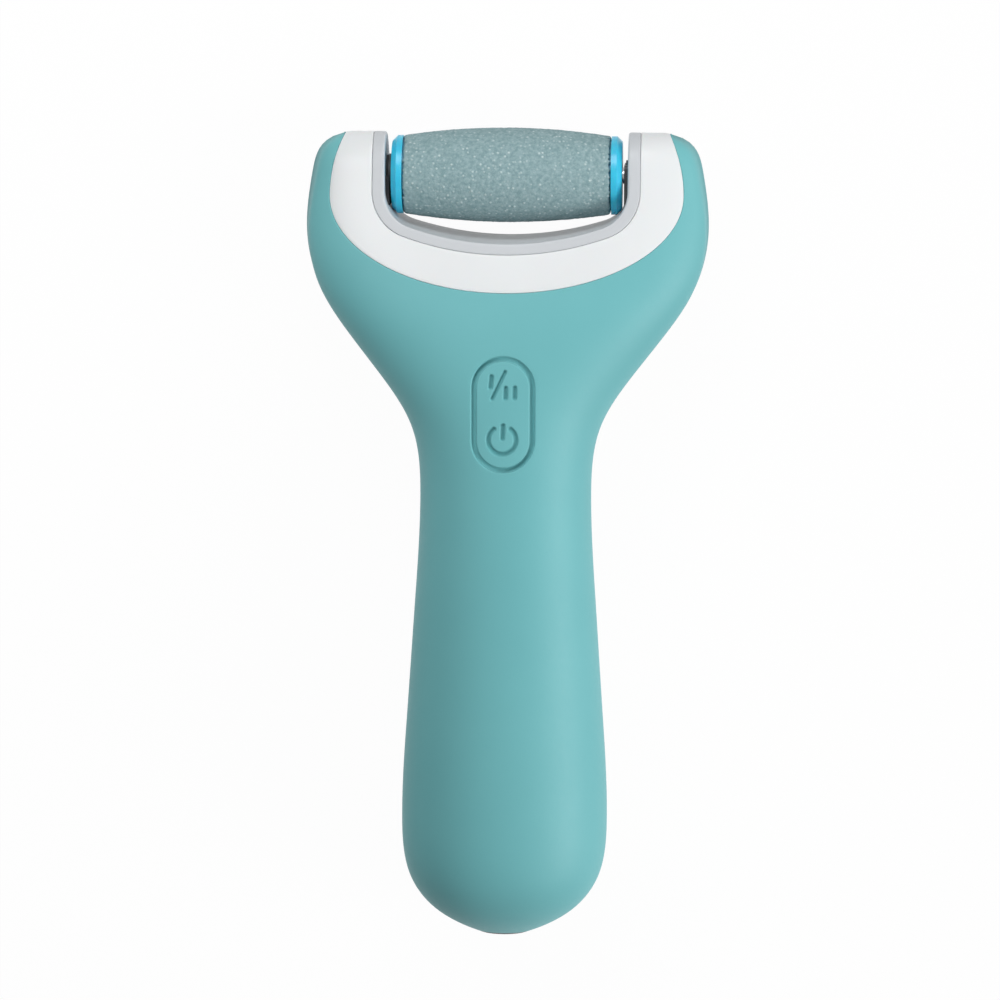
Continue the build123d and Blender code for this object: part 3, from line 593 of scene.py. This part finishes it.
def housing_half(face):
    """Front or back half, with the button's window in the front and the screw wells in the back."""
    grid, rows = neck_grid(face)
    patches = button_window(grid, rows) if face == FRONT else [grid]
    patches += [head_grid(face), fascia_rim(face)]
    name = "front_housing" if face == FRONT else "back_housing"
    piece = mesh_object(name, patches, facing=face)
    if face == BACK:
        for spot, seat in SCREW_SEATS:
            pierced(piece, spot, well_reach, well_lining(seat), WELL_CLEAR)
    return thicken(piece, HOUSING_WALL[face])


# White fascia

FASCIA_ROUND = 0.14
SEAM = 0.04
ARM_REACH = 11.0
ARM_ROWS = 34
FASCIA_ROWS = 121

# The back's wall and edge are shallow, so that the release slider passes them
FASCIA_WALL = {FRONT: 0.5, BACK: 0.3}
FASCIA_EDGE = {FRONT: EDGE_DEPTH, BACK: 0.45}


def tip_at(x):
    """Distance from the butt at which the arm's outline ends for a given x."""
    arms = STATIONS[0] > FASCIA_CENTRE
    widths = STATIONS[1][arms][::-1]
    alongs = STATIONS[0][arms][::-1]
    return np.minimum(np.interp(np.abs(x), widths, alongs), TIP - TIP_INSET)


def fascia_half(face):
    """White band between the liner and the housing on one face."""
    half = LINER[0] + SEAM
    inner_line = saddle_floor((half, LINER[1] - SEAM, LINER[2], LINER[3]))
    arm_end = inner_line[0][1]
    end = fascia_end()
    edge = rounded_edge(FASCIA_ROUND, FASCIA_EDGE[face])
    middle = np.linspace(0, 1, 13)[1:-1]

    def cross(inner, outer, lift):
        """Row of points from the inner to the outer plan point, with both edges rounded."""
        width = np.linalg.norm(outer - inner)
        span = FASCIA_ROUND / width
        spots = [(d / width, depth) for d, depth in reversed(edge)]
        spots += [(span + (1 - 2 * span) * m, 0.0) for m in middle]
        spots += [(1 - d / width, depth) for d, depth in edge]
        shares = np.array([s for s, _ in spots])
        depths = np.array([d for _, d in spots])
        plan = inner + (outer - inner) * shares[:, None]
        if lift:
            top = half + (fascia_side(end) - half) * shares
            chord = TIP + (end - TIP) * shares
            plan[:, 1] += lift * (tip_at(top) - chord)
        return plan_point(plan[:, 0], plan[:, 1], face, depths)

    rows = []
    for q in np.linspace(0, 1, ARM_ROWS):
        share = q**2
        inner = np.array([half, TIP + (arm_end - TIP) * share])
        outer_along = end + (FASCIA_CENTRE - end) * share
        outer = np.array([fascia_side(outer_along) - SEAM, outer_along])
        rows.append(cross(inner, outer, (1 - q) ** 3))
    shares = np.linspace(0, 1, FASCIA_ROWS)[1:-1]
    inner_points = spaced_along(inner_line, shares)
    outer_points = spaced_along(grown(fascia_bow(), -SEAM), shares)
    for inner, outer in zip(inner_points, outer_points):
        rows.append(cross(inner, outer, 0))
    for row in reversed(rows[:ARM_ROWS]):
        rows.append(row * (-1, 1, 1))
    name = "front_cover_band" if face == FRONT else "back_cover_band"
    piece = mesh_object(name, [np.array(rows)[:, ::-1]], facing=-face)
    if face == BACK:
        corners = [(x, y) for x in (-SLOT_HALF[0], SLOT_HALF[0]) for y in (-SLOT_HALF[1], SLOT_HALF[1])]
        pierced(piece, SLOT_SPOT, slot_reach, slot_lining, SLOT_CLEAR, corners)
    return thicken(piece, FASCIA_WALL[face])


# Grey liner

LINER_ROUND = 0.45
LINER_OUTER_ROUND = 0.25
ROUND_SHARE = 0.45
LINER_ROWS = 131


def liner_loop(inner, outer):
    """Closed cross section of the liner between an inner and an outer plan point."""
    width = np.linalg.norm(outer - inner)
    along = min(inner[1], TIP - TIP_INSET)
    thin = float(height(inner[0], along, FRONT) - height(inner[0], along, BACK))
    small = min(1.0, ROUND_SHARE * thin / LINER_ROUND)
    inside, outside = LINER_ROUND * small, LINER_OUTER_ROUND * small
    angles = np.radians(np.linspace(0, 90, 7))

    def face_points(face):
        spots = [(1 - outside * (1 - math.sin(a)) / width, outside * (1 - math.cos(a))) for a in angles[::-1]]
        spots += [(s, 0.0) for s in np.linspace(1 - 2 * outside / width, 2 * inside / width, 6)]
        spots += [(inside * (1 - math.sin(a)) / width, inside * (1 - math.cos(a))) for a in angles]
        shares = np.array([s for s, _ in spots])
        depths = np.array([d for _, d in spots])
        plan = inner + (outer - inner) * shares[:, None]
        return plan_point(plan[:, 0], plan[:, 1], face, depths)

    front = face_points(FRONT)
    back = face_points(BACK)[::-1]
    down = np.linspace(0, 1, 14)[1:-1, None]
    inner_wall = front[-1] + (back[0] - front[-1]) * down
    outer_wall = back[-1] + (front[0] - back[-1]) * down
    return np.concatenate([front, inner_wall, back, outer_wall, front[:1]])


def saddle_liner():
    """Liner of the saddle, from one arm's tip round the floor to the other's, closed at both tips."""
    inner_line = saddle_floor(OPENING)
    outer_line = saddle_floor(LINER)
    arm_end = TIP - ARM_REACH
    rows = []
    for q in np.linspace(0.03, 1, ARM_ROWS):
        along = TIP - ARM_REACH * q**2
        rows.append(liner_loop(np.array([OPENING[0], along]), np.array([LINER[0], along])))
    shares = np.linspace(0, 1, LINER_ROWS)
    full_inner = np.concatenate([[[OPENING[0], arm_end]], inner_line, [[-OPENING[0], arm_end]]])
    full_outer = np.concatenate([[[LINER[0], arm_end]], outer_line, [[-LINER[0], arm_end]]])
    inner_points = spaced_along(full_inner, shares)
    outer_points = spaced_along(full_outer, shares)
    for inner, outer in list(zip(inner_points, outer_points))[1:-1]:
        rows.append(liner_loop(inner, outer))
    for row in reversed(rows[:ARM_ROWS]):
        rows.append(row * (-1, 1, 1))
    first = np.array([np.repeat(rows[0].mean(0)[None], len(rows[0]), 0), rows[0]])
    last = np.array([rows[-1], np.repeat(rows[-1].mean(0)[None], len(rows[-1]), 0)])
    return mesh_object("liner_band", [np.array(rows), first, last])


# Button

PAD_RIM = 0.3
PAD_WALL = 1.4
WEB_DIP, WEB_CROWN, WEB_WALL = 0.75, 0.15, 0.35

# Signs: places are off the middle and above the button's centre
SIGN_DEPTH = 0.5
STROKE = 0.44
UPRIGHTS = (
    ((-2.45, 5.3), (-2.25, 7.35)),
    ((0.45, 3.25), (0.5, 5.15)),
    ((2.2, 3.3), (2.25, 5.2)),
    ((-0.1, -4.55), (0.0, -2.1)),
)
SLASH = ((-2.1, 3.1), (0.35, 8.3))
SLASH_SHARE = 0.82
RING_CENTRE, RING_RADIUS, RING_OPEN = (-0.15, -4.9), 2.68, 37


def segment_distance(x, y, start, end):
    (ax, ay), (bx, by) = start, end
    length = (bx - ax) ** 2 + (by - ay) ** 2
    t = np.clip(((x - ax) * (bx - ax) + (y - ay) * (by - ay)) / length, 0, 1)
    return np.hypot(x - ax - t * (bx - ax), y - ay - t * (by - ay))


def sign_distance(x, y):
    """Distance outside the strokes of the speed sign above and the power sign below."""
    strokes = [segment_distance(x, y, *ends) - STROKE for ends in UPRIGHTS]
    strokes.append(segment_distance(x, y, *SLASH) - STROKE * SLASH_SHARE)
    right, up = x - RING_CENTRE[0], y - RING_CENTRE[1]
    half_open = math.radians(RING_OPEN)
    on_ring = np.abs(np.hypot(right, up) - RING_RADIUS)
    end = (RING_RADIUS * math.sin(half_open), RING_RADIUS * math.cos(half_open))
    to_end = np.hypot(np.abs(right) - end[0], up - end[1])
    strokes.append(np.where(np.abs(np.arctan2(right, up)) > half_open, on_ring, to_end) - STROKE)
    return np.min(strokes, axis=0)


def smooth(low, high, value):
    """Soft step from 0 at low to 1 at high."""
    t = np.clip((value - low) / (high - low), 0, 1)
    return t * t * (3 - 2 * t)


def sunk_share(x, along):
    """0 on the pad's face, 1 on the floor of a sign's strokes."""
    return 1 - smooth(-0.30, 0.16, sign_distance(x, along - BUTTON_ALONG))


def closer_at_ends(count):
    """Places from -1 to 1, a little closer together at both ends."""
    line = np.linspace(-1, 1, count)
    return np.sin(line * math.pi / 2) * 0.25 + line * 0.75


def button_pad():
    """Pad with a rounded rim, engraved signs and a wall down to its closed underside."""
    alongs = BUTTON_ALONG + closer_at_ends(211) * (BUTTON_LENGTH / 2)
    side = closer_at_ends(113)
    reach = (BUTTON_LENGTH - BUTTON_WIDTH) / 2
    over = np.maximum(np.abs(alongs - BUTTON_ALONG) - reach, 0)
    half = np.sqrt(np.maximum((BUTTON_WIDTH / 2) ** 2 - over**2, 1e-6))
    x = half[:, None] * side[None]
    along = np.repeat(alongs[:, None], len(side), 1)
    edge = np.clip(stadium_distance(x, along), 0, PAD_RIM)
    fall = PAD_RIM - np.sqrt(np.maximum(PAD_RIM**2 - (PAD_RIM - edge) ** 2, 0))
    top = plan_point(x, along, FRONT, fall + SIGN_DEPTH * sunk_share(x, along))
    boundary = np.concatenate([top[:, 0], top[-1, 1:], top[-2::-1, -1], top[0, -2:0:-1], top[:1, 0]])
    skirt = [boundary]
    for depth in (0.4, 0.9, PAD_WALL):
        skirt.append(boundary - (0, 0, depth))
    skirt.append(np.repeat(skirt[-1].mean(0)[None], len(boundary), 0))
    piece = mesh_object("button_cap", [top, np.array(skirt)], 0.0005)
    # Kept on the mesh for the pad's material, which paints shade into the signs' strokes
    points = np.array([vertex.co for vertex in piece.data.vertices]) / MM
    sunk = piece.data.attributes.new("sunk", "FLOAT", "POINT")
    sunk.data.foreach_set("value", sunk_share(points[:, 0], points[:, 1] - BUTT))
    return piece


def groove_membrane():
    """Soft web in the groove between the pad and the housing."""
    angle = np.linspace(0, 2 * math.pi, 241)
    directions = np.stack([np.cos(angle), np.sin(angle)], axis=-1)
    rings = []
    for share in np.linspace(-0.25, 1.25, 13):
        ring = stadium_ring(BUTTON_GROOVE * share, directions)
        dip = WEB_DIP + WEB_CROWN * (1 - (2 * np.clip(share, 0, 1) - 1) ** 2)
        rings.append(plan_point(ring[:, 0], ring[:, 1], FRONT, dip))
    return thicken(mesh_object("button_web", [np.array(rings)], facing=FRONT), WEB_WALL)


# Roller

RAGGED_END = 0.55
END_ROUND = 0.35
GRAIN = 0.045
GRAIN_ROOM = 0.12
SLEEVE_BORE = 6.6


def sleeve_radius(x):
    """Radius of the barrel crown, an arc through both ends and the middle."""
    rise = ROLLER_CROWN - ROLLER_END
    big = (SLEEVE_HALF**2 + rise**2) / (2 * rise)
    return ROLLER_CROWN - big + np.sqrt(big**2 - x**2)


def round_roller(x, radius, angle):
    """Points round the roller's axis."""
    return np.stack([x, ROLLER_ALONG + radius * np.cos(angle), ROLLER_Z + radius * np.sin(angle)], axis=-1)


def abrasive_roller():
    """Barrel with a slightly grainy skin, whose ragged ends leave a thin dark gap to the caps."""
    rng = np.random.default_rng(7)
    turns, columns = 240, 170
    x = np.linspace(-SLEEVE_HALF, SLEEVE_HALF, columns)
    ends = np.clip((SLEEVE_HALF - np.abs(x)) / END_ROUND, 0, 1)
    fall = END_ROUND * (1 - np.sqrt(1 - (1 - ends) ** 2))
    grain = rng.normal(0, 1, (turns, columns))
    grain = (grain + np.roll(grain, 1, 0) + np.roll(grain, 1, 1) + np.roll(grain, (1, 1), (0, 1))) / 4
    radius = sleeve_radius(x) - fall + GRAIN * grain - GRAIN_ROOM
    angle = np.linspace(0, 2 * math.pi, turns, endpoint=False)[:, None]
    ragged = rng.uniform(0.05, RAGGED_END, (2, turns, 1))
    ragged = (ragged + np.roll(ragged, 1, 1)) / 2
    spread = (1 - np.where(x < 0, ragged[0], ragged[1]) / SLEEVE_HALF) * x
    skin = round_roller(spread, radius, angle)
    left = round_roller(spread[:, :1], SLEEVE_BORE, angle)
    right = round_roller(spread[:, -1:], SLEEVE_BORE, angle)
    loop = np.concatenate([left, skin, right, left], axis=1)
    return mesh_object("abrasive_barrel", [np.concatenate([loop, loop[:1]])])


# Screws of the housing, and the spring of the release pin

SCREW_HEAD, SCREW_SHANK, SCREW_TIP_Z = 2.2, 1.1, 21.4
PAN_SIDE, PAN_RISE = 0.6, 1.0
RECESS_ARM, RECESS_HALF, RECESS_DEPTH = 1.25, 0.28, 0.8
SPRING_X = (28.72, 32.18)
SPRING_RADIUS, SPRING_WIRE, SPRING_TURNS = 1.5, 0.2, 3


def housing_screws():
    """Pan heads with a cross recess, seated in the wells of the back, and their shanks."""
    angle = np.linspace(0, 2 * math.pi, 97)
    radii = np.concatenate([np.linspace(0, 1.5, 21), [1.7, 1.9, 2.05, 2.15, SCREW_HEAD]])[:, None]
    across, up = np.abs(radii * np.cos(angle)), np.abs(radii * np.sin(angle))
    outside = np.maximum(np.minimum(across, up) - RECESS_HALF, np.maximum(across, up) - RECESS_ARM)
    recess = RECESS_DEPTH * smooth(-0.02, 0.1, -outside)
    face = recess - PAN_SIDE - PAN_RISE * np.sqrt(1 - (radii / SCREW_HEAD) ** 4)
    screws = []
    for (x, along), seat in SCREW_SEATS:
        rows = [(r, seat + z) for r, z in zip(radii[:, 0], face)]
        rows += [(SCREW_HEAD, seat), (SCREW_SHANK, seat), (SCREW_SHANK, SCREW_TIP_Z), (0, SCREW_TIP_Z)]
        screws.append(np.array([
            np.stack([x + r * np.cos(angle), along + r * np.sin(angle), np.full_like(angle, z)], axis=-1)
            for r, z in rows
        ]))
    return mesh_object("housing_screws", screws)


def catch_spring():
    """Compression spring behind the release pin's collar, with closed wire ends."""
    share = np.linspace(0, 1, 145)[:, None]
    around = np.linspace(0, 2 * math.pi, 13)
    wire = SPRING_WIRE * np.sign(share * (1 - share))
    start, end = SPRING_X[0] + SPRING_WIRE, SPRING_X[1] - SPRING_WIRE
    x = start + (end - start) * share + wire * np.sin(around)
    turn = 2 * math.pi * SPRING_TURNS * share
    return mesh_object("catch_spring", [round_roller(x, SPRING_RADIUS + wire * np.cos(around), turn)])


# ---------------------------------------------------------------- materials


class Nodes:
    """Small helper for one material's node tree."""

    def __init__(self, name):
        self.material = bpy.data.materials.new(name)
        self.material.use_nodes = True
        self.tree = self.material.node_tree
        self.shader = self.tree.nodes["Principled BSDF"]

    def add(self, kind, **values):
        node = self.tree.nodes.new(kind)
        for key, value in values.items():
            setattr(node, key, value)
        return node

    def link(self, source, target):
        self.tree.links.new(source, target)

    def position(self, scale=1.0):
        """Object position in millimetres, times scale."""
        coords = self.add("ShaderNodeTexCoord")
        mapping = self.add("ShaderNodeMapping")
        mapping.inputs["Scale"].default_value = (scale / MM,) * 3
        self.link(coords.outputs["Object"], mapping.inputs["Vector"])
        return mapping.outputs["Vector"]

    def noise(self, vector, scale, detail=2.0, rough=0.5):
        node = self.add("ShaderNodeTexNoise")
        node.inputs["Scale"].default_value = scale
        node.inputs["Detail"].default_value = detail
        node.inputs["Roughness"].default_value = rough
        self.link(vector, node.inputs["Vector"])
        return node.outputs["Fac"]

    def ramp(self, source, stops):
        node = self.add("ShaderNodeValToRGB")
        elements = node.color_ramp.elements
        while len(elements) < len(stops):
            elements.new(0.5)
        for element, (place, colour) in zip(elements, stops):
            element.position = place
            element.color = (*colour, 1)
        self.link(source, node.inputs["Fac"])
        return node.outputs["Color"]

    def bump(self, source, distance, strength=1.0, after=None):
        node = self.add("ShaderNodeBump")
        node.inputs["Distance"].default_value = distance * MM
        node.inputs["Strength"].default_value = strength
        self.link(source, node.inputs["Height"])
        if after is not None:
            self.link(after, node.inputs["Normal"])
        return node.outputs["Normal"]

    def set(self, **values):
        for key, value in values.items():
            self.shader.inputs[key.replace("_", " ")].default_value = value


def grey(value):
    return (value, value, value)


def shade(colour, share):
    return tuple(min(1.0, c * share) for c in colour)


def plastic(name, colour, roughness, grain=0.02, vary=0.03, subsurface=0.0):
    """Moulded plastic: slight cloudiness in colour and gloss, fine moulded grain."""
    n = Nodes(name)
    place = n.position()
    cloud = n.noise(place, 0.06, 3.0)
    n.link(
        n.ramp(cloud, [(0.3, shade(colour, 1 - vary)), (0.7, shade(colour, 1 + vary))]),
        n.shader.inputs["Base Color"],
    )
    gloss = n.noise(place, 0.9, 4.0)
    n.link(
        n.ramp(gloss, [(0.25, grey(roughness * 0.92)), (0.75, grey(roughness * 1.08))]),
        n.shader.inputs["Roughness"],
    )
    n.link(n.bump(n.noise(place, 7.0, 3.0), grain), n.shader.inputs["Normal"])
    n.set(IOR=1.46)
    if subsurface:
        n.set(Subsurface_Weight=subsurface, Subsurface_Scale=0.002)
    return n.material


def metal(name, colour, roughness):
    """Drawn or ground metal with fine streaks."""
    n = Nodes(name)
    place = n.position()
    streak = n.noise(place, 3.0, 5.0, 0.6)
    n.link(n.ramp(streak, [(0.3, shade(colour, 0.88)), (0.7, colour)]), n.shader.inputs["Base Color"])
    gloss = n.ramp(streak, [(0.3, grey(roughness)), (0.7, grey(roughness * 1.5))])
    n.link(gloss, n.shader.inputs["Roughness"])
    n.set(Metallic=1.0)
    return n.material


def soft_teal(name, signs=False):
    """Silky soft-touch skin: matte, with a faint sheen and very fine grain, and with painted shade darkening
    the sunk signs.
    """
    n = Nodes(name)
    place = n.position()
    cloud = n.noise(place, 0.045, 3.0)
    colour = n.ramp(cloud, [(0.3, (0.147, 0.452, 0.476)), (0.7, (0.158, 0.474, 0.497))])
    if signs:
        # Painted shade: a darker teal, mixed in by the sunk share, stands for the shade that falls in the
        # signs' strokes
        sunk = n.add("ShaderNodeAttribute", attribute_name="sunk")
        mix = n.add("ShaderNodeMix", data_type="RGBA")
        n.link(sunk.outputs["Fac"], mix.inputs["Factor"])
        n.link(colour, mix.inputs["A"])
        n.link(n.ramp(cloud, [(0.3, (0.080, 0.305, 0.325)), (0.7, (0.088, 0.322, 0.342))]), mix.inputs["B"])
        colour = mix.outputs["Result"]
    n.link(colour, n.shader.inputs["Base Color"])
    gloss = n.noise(place, 1.3, 4.0)
    n.link(n.ramp(gloss, [(0.3, grey(0.50)), (0.7, grey(0.58))]), n.shader.inputs["Roughness"])
    fine = n.bump(n.noise(place, 11.0, 2.0), 0.012)
    n.link(n.bump(n.noise(place, 2.2, 2.0), 0.02, 0.5, fine), n.shader.inputs["Normal"])
    n.set(IOR=1.42, Sheen_Weight=0.06, Sheen_Roughness=0.5)
    return n.material


def abrasive():
    """Blue-grey grit, mottled, with soft pale mineral flecks from faint to bright."""
    n = Nodes("abrasive_grit")
    place = n.position()
    mottle = n.noise(place, 1.3, 3.0, 0.65)
    base = n.ramp(mottle, [(0.36, (0.205, 0.330, 0.350)), (0.64, (0.315, 0.450, 0.470))])
    flecks = n.add("ShaderNodeTexVoronoi")
    flecks.inputs["Scale"].default_value = 1.35
    n.link(place, flecks.inputs["Vector"])
    mask = n.ramp(flecks.outputs["Distance"], [(0.10, grey(1.0)), (0.42, grey(0.0))])
    chance = n.ramp(flecks.outputs["Color"], [(0.35, grey(0.0)), (0.62, grey(0.45)), (0.78, grey(1.0))])
    both = n.add("ShaderNodeMath", operation="MULTIPLY")
    n.link(mask, both.inputs[0])
    n.link(chance, both.inputs[1])
    mix = n.add("ShaderNodeMix", data_type="RGBA")
    n.link(both.outputs[0], mix.inputs["Factor"])
    n.link(base, mix.inputs["A"])
    mix.inputs["B"].default_value = (0.58, 0.70, 0.705, 1)
    n.link(mix.outputs["Result"], n.shader.inputs["Base Color"])
    rough = n.bump(n.noise(place, 4.5, 5.0, 0.7), 0.12)
    n.link(n.bump(both.outputs[0], 0.08, 1.0, rough), n.shader.inputs["Normal"])
    n.set(Roughness=0.85, IOR=1.5)
    return n.material


def cap_blue():
    """Bright translucent blue plastic."""
    n = Nodes("cap_blue")
    place = n.position()
    cloud = n.noise(place, 0.5, 3.0)
    colour = n.ramp(cloud, [(0.3, (0.025, 0.50, 0.74)), (0.7, (0.035, 0.56, 0.80))])
    n.link(colour, n.shader.inputs["Base Color"])
    n.link(n.bump(n.noise(place, 5.0, 2.0), 0.01), n.shader.inputs["Normal"])
    n.set(Roughness=0.28, Subsurface_Weight=0.25, Subsurface_Scale=0.0015, IOR=1.49)
    return n.material


MATERIALS = {
    "soft_teal": soft_teal("soft_teal"),
    "teal_rubber": plastic("teal_rubber", (0.150, 0.425, 0.455), 0.6, 0.02, 0.03),
    "white_plastic": plastic("white_plastic", (0.785, 0.80, 0.81), 0.34, 0.006, 0.012, subsurface=0.05),
    "grey_plastic": plastic("grey_plastic", (0.56, 0.585, 0.61), 0.42, 0.01, 0.02),
    "screw_steel": metal("screw_steel", (0.56, 0.56, 0.58), 0.28),
    "board_green": plastic("board_green", (0.02, 0.16, 0.07), 0.35, 0.02, 0.10),
    "black_plastic": plastic("black_plastic", (0.018, 0.018, 0.02), 0.42, 0.02, 0.10),
    "cell_wrap": plastic("cell_wrap", (0.04, 0.14, 0.38), 0.22, 0.01, 0.04),
    "contact_metal": metal("contact_metal", (0.80, 0.62, 0.32), 0.25),
    "motor_steel": metal("motor_steel", (0.60, 0.61, 0.62), 0.32),
    "bell_plastic": plastic("bell_plastic", (0.72, 0.70, 0.64), 0.5, 0.02, 0.04),
    "bright_steel": metal("bright_steel", (0.68, 0.68, 0.70), 0.18),
    "gear_nylon": plastic("gear_nylon", (0.80, 0.79, 0.72), 0.42, 0.01, 0.02, subsurface=0.1),
    "gear_brass": metal("gear_brass", (0.78, 0.60, 0.30), 0.25),
    "frame_plastic": plastic("frame_plastic", (0.045, 0.047, 0.05), 0.45, 0.02, 0.08),
    "bush_bronze": metal("bush_bronze", (0.55, 0.36, 0.20), 0.42),
    "black_rubber": plastic("black_rubber", (0.02, 0.02, 0.021), 0.7, 0.03, 0.10),
    "cap_blue": cap_blue(),
    "core_plastic": plastic("core_plastic", (0.10, 0.35, 0.50), 0.4, 0.01, 0.03),
    "abrasive": abrasive(),
    "spring_steel": metal("spring_steel", (0.62, 0.62, 0.64), 0.22),
}

# ---------------------------------------------------------------- pieces

for entry in frame["record"]["subparts"]:
    node = frame["nodes"][entry["node"]]
    node.data.materials.clear()
    node.data.materials.append(MATERIALS[entry["material_slot"]])

finish_piece(housing_half(FRONT), "housing", "soft_teal", "front_shell")
finish_piece(housing_half(BACK), "housing", "soft_teal", "back_shell")
finish_piece(fascia_half(FRONT), "housing", "white_plastic", "front_fascia")
finish_piece(fascia_half(BACK), "housing", "white_plastic", "back_fascia")
finish_piece(saddle_liner(), "housing", "grey_plastic", "saddle_liner")
finish_piece(button_pad(), "button", "soft_teal", "button_pad", soft_teal("pad_teal", signs=True))
finish_piece(groove_membrane(), "housing", "teal_rubber", "button_seal", MATERIALS["soft_teal"])
finish_piece(abrasive_roller(), "roller", "abrasive", "abrasive_sleeve")
finish_piece(housing_screws(), "housing", "screw_steel", "shell_screws")
spring = finish_piece(catch_spring(), "housing", "spring_steel", "pin_spring")
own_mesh(spring)

# ---------------------------------------------------------------- stage, light and camera

FLOOR_HALF = 3.0
FLOOR_GLOW = 1.03
FLOOR_GLOW_SHARE = 0.94
WORLD_STRENGTH = 0.21
IMAGE_PIXELS = 1000
PIXELS_PER_MM = 5.112
SENSOR = 36
CAMERA_DISTANCE = 900.0
CAMERA_AIM = (-1.15, 85.7, 16.0)
CAMERA_PITCH, CAMERA_YAW, CAMERA_ROLL = 8.1, 2.7, 0.2


def seen_directly(tree):
    """1 where a ray comes from the camera, a mirror reflection or through glass, else 0."""
    path = tree.nodes.new("ShaderNodeLightPath")
    total = path.outputs["Is Camera Ray"]
    for name in ("Is Glossy Ray", "Is Transmission Ray"):
        either = tree.nodes.new("ShaderNodeMath")
        either.operation = "MAXIMUM"
        tree.links.new(total, either.inputs[0])
        tree.links.new(path.outputs[name], either.inputs[1])
        total = either.outputs[0]
    return total


def make_floor():
    """Plain floor, a little below the object, that is nearly white to the camera and keeps the shadow."""
    mesh = bpy.data.meshes.new("floor")
    corners = [(FLOOR_HALF * x, FLOOR_HALF * y, 0) for x, y in ((-1, -1), (1, -1), (1, 1), (-1, 1))]
    mesh.from_pydata(corners, [], [(0, 1, 2, 3)])
    floor = bpy.data.objects.new("floor", mesh)
    bpy.context.scene.collection.objects.link(floor)
    floor.location.z = CAD_BOX[0][2] - 0.0002
    n = Nodes("floor_paper")
    place = n.position(0.01)
    n.link(n.ramp(n.noise(place, 1.0), [(0.3, grey(0.45)), (0.7, grey(0.46))]), n.shader.inputs["Base Color"])
    n.set(Roughness=0.9)
    glow = n.add("ShaderNodeEmission")
    glow.inputs["Strength"].default_value = FLOOR_GLOW
    mix = n.add("ShaderNodeMixShader")
    most = n.add("ShaderNodeMath", operation="MULTIPLY")
    most.inputs[1].default_value = FLOOR_GLOW_SHARE
    n.link(seen_directly(n.tree), most.inputs[0])
    n.link(most.outputs[0], mix.inputs["Fac"])
    n.link(n.shader.outputs[0], mix.inputs[1])
    n.link(glow.outputs[0], mix.inputs[2])
    n.link(mix.outputs[0], n.tree.nodes["Material Output"].inputs["Surface"])
    mesh.materials.append(n.material)


def area_light(name, place, size, power, aim=(0, 0, 0.015)):
    light = bpy.data.lights.new(name, "AREA")
    light.shape = "DISK"
    light.size = size
    light.energy = power
    lamp = bpy.data.objects.new(name, light)
    lamp.location = place
    lamp.rotation_euler = (Vector(aim) - Vector(place)).to_track_quat("-Z", "Y").to_euler()
    lamp.visible_camera = False
    bpy.context.scene.collection.objects.link(lamp)


def make_light():
    """Three soft lamps and a dim even world, which the camera sees as white."""
    area_light("side", (0.92, -0.22, 0.50), 0.6, 8.4)
    area_light("left", (-0.16, 0.16, 0.25), 0.15, 0.26)
    area_light("top", (0.0, 0.35, 0.25), 0.2, 0.58)
    world = bpy.data.worlds.new("studio")
    world.use_nodes = True
    tree = world.node_tree
    backdrop = tree.nodes.new("ShaderNodeMix")
    backdrop.inputs["A"].default_value = WORLD_STRENGTH
    backdrop.inputs["B"].default_value = 1.0
    tree.links.new(seen_directly(tree), backdrop.inputs["Factor"])
    background = tree.nodes["Background"]
    background.inputs["Color"].default_value = (1, 1, 1, 1)
    tree.links.new(backdrop.outputs["Result"], background.inputs["Strength"])
    bpy.context.scene.world = world


def make_camera():
    """Camera above the front, at the photo's slight pitch, yaw and roll."""
    camera = bpy.data.cameras.new("camera")
    camera.sensor_width = SENSOR
    camera.lens = SENSOR * CAMERA_DISTANCE / (IMAGE_PIXELS / PIXELS_PER_MM)
    camera.clip_end = 10
    eye = bpy.data.objects.new("camera", camera)
    aim = (Vector(CAMERA_AIM) + Vector((0, BUTT, 0))) * MM
    pitch, yaw, roll = (math.radians(angle) for angle in (CAMERA_PITCH, CAMERA_YAW, CAMERA_ROLL))
    toward = Vector((math.sin(yaw) * math.cos(pitch), math.sin(pitch), math.cos(yaw) * math.cos(pitch)))
    right = Vector((0, 1, 0)).cross(toward).normalized()
    up = toward.cross(right)
    turn = Matrix((right, up, toward)).transposed()
    eye.location = aim + toward * CAMERA_DISTANCE * MM
    eye.rotation_euler = (turn @ Matrix.Rotation(roll, 3, "Z")).to_euler()
    bpy.context.scene.collection.objects.link(eye)
    bpy.context.scene.camera = eye


make_floor()
make_light()
make_camera()
bpy.context.scene.view_settings.view_transform = "Standard"
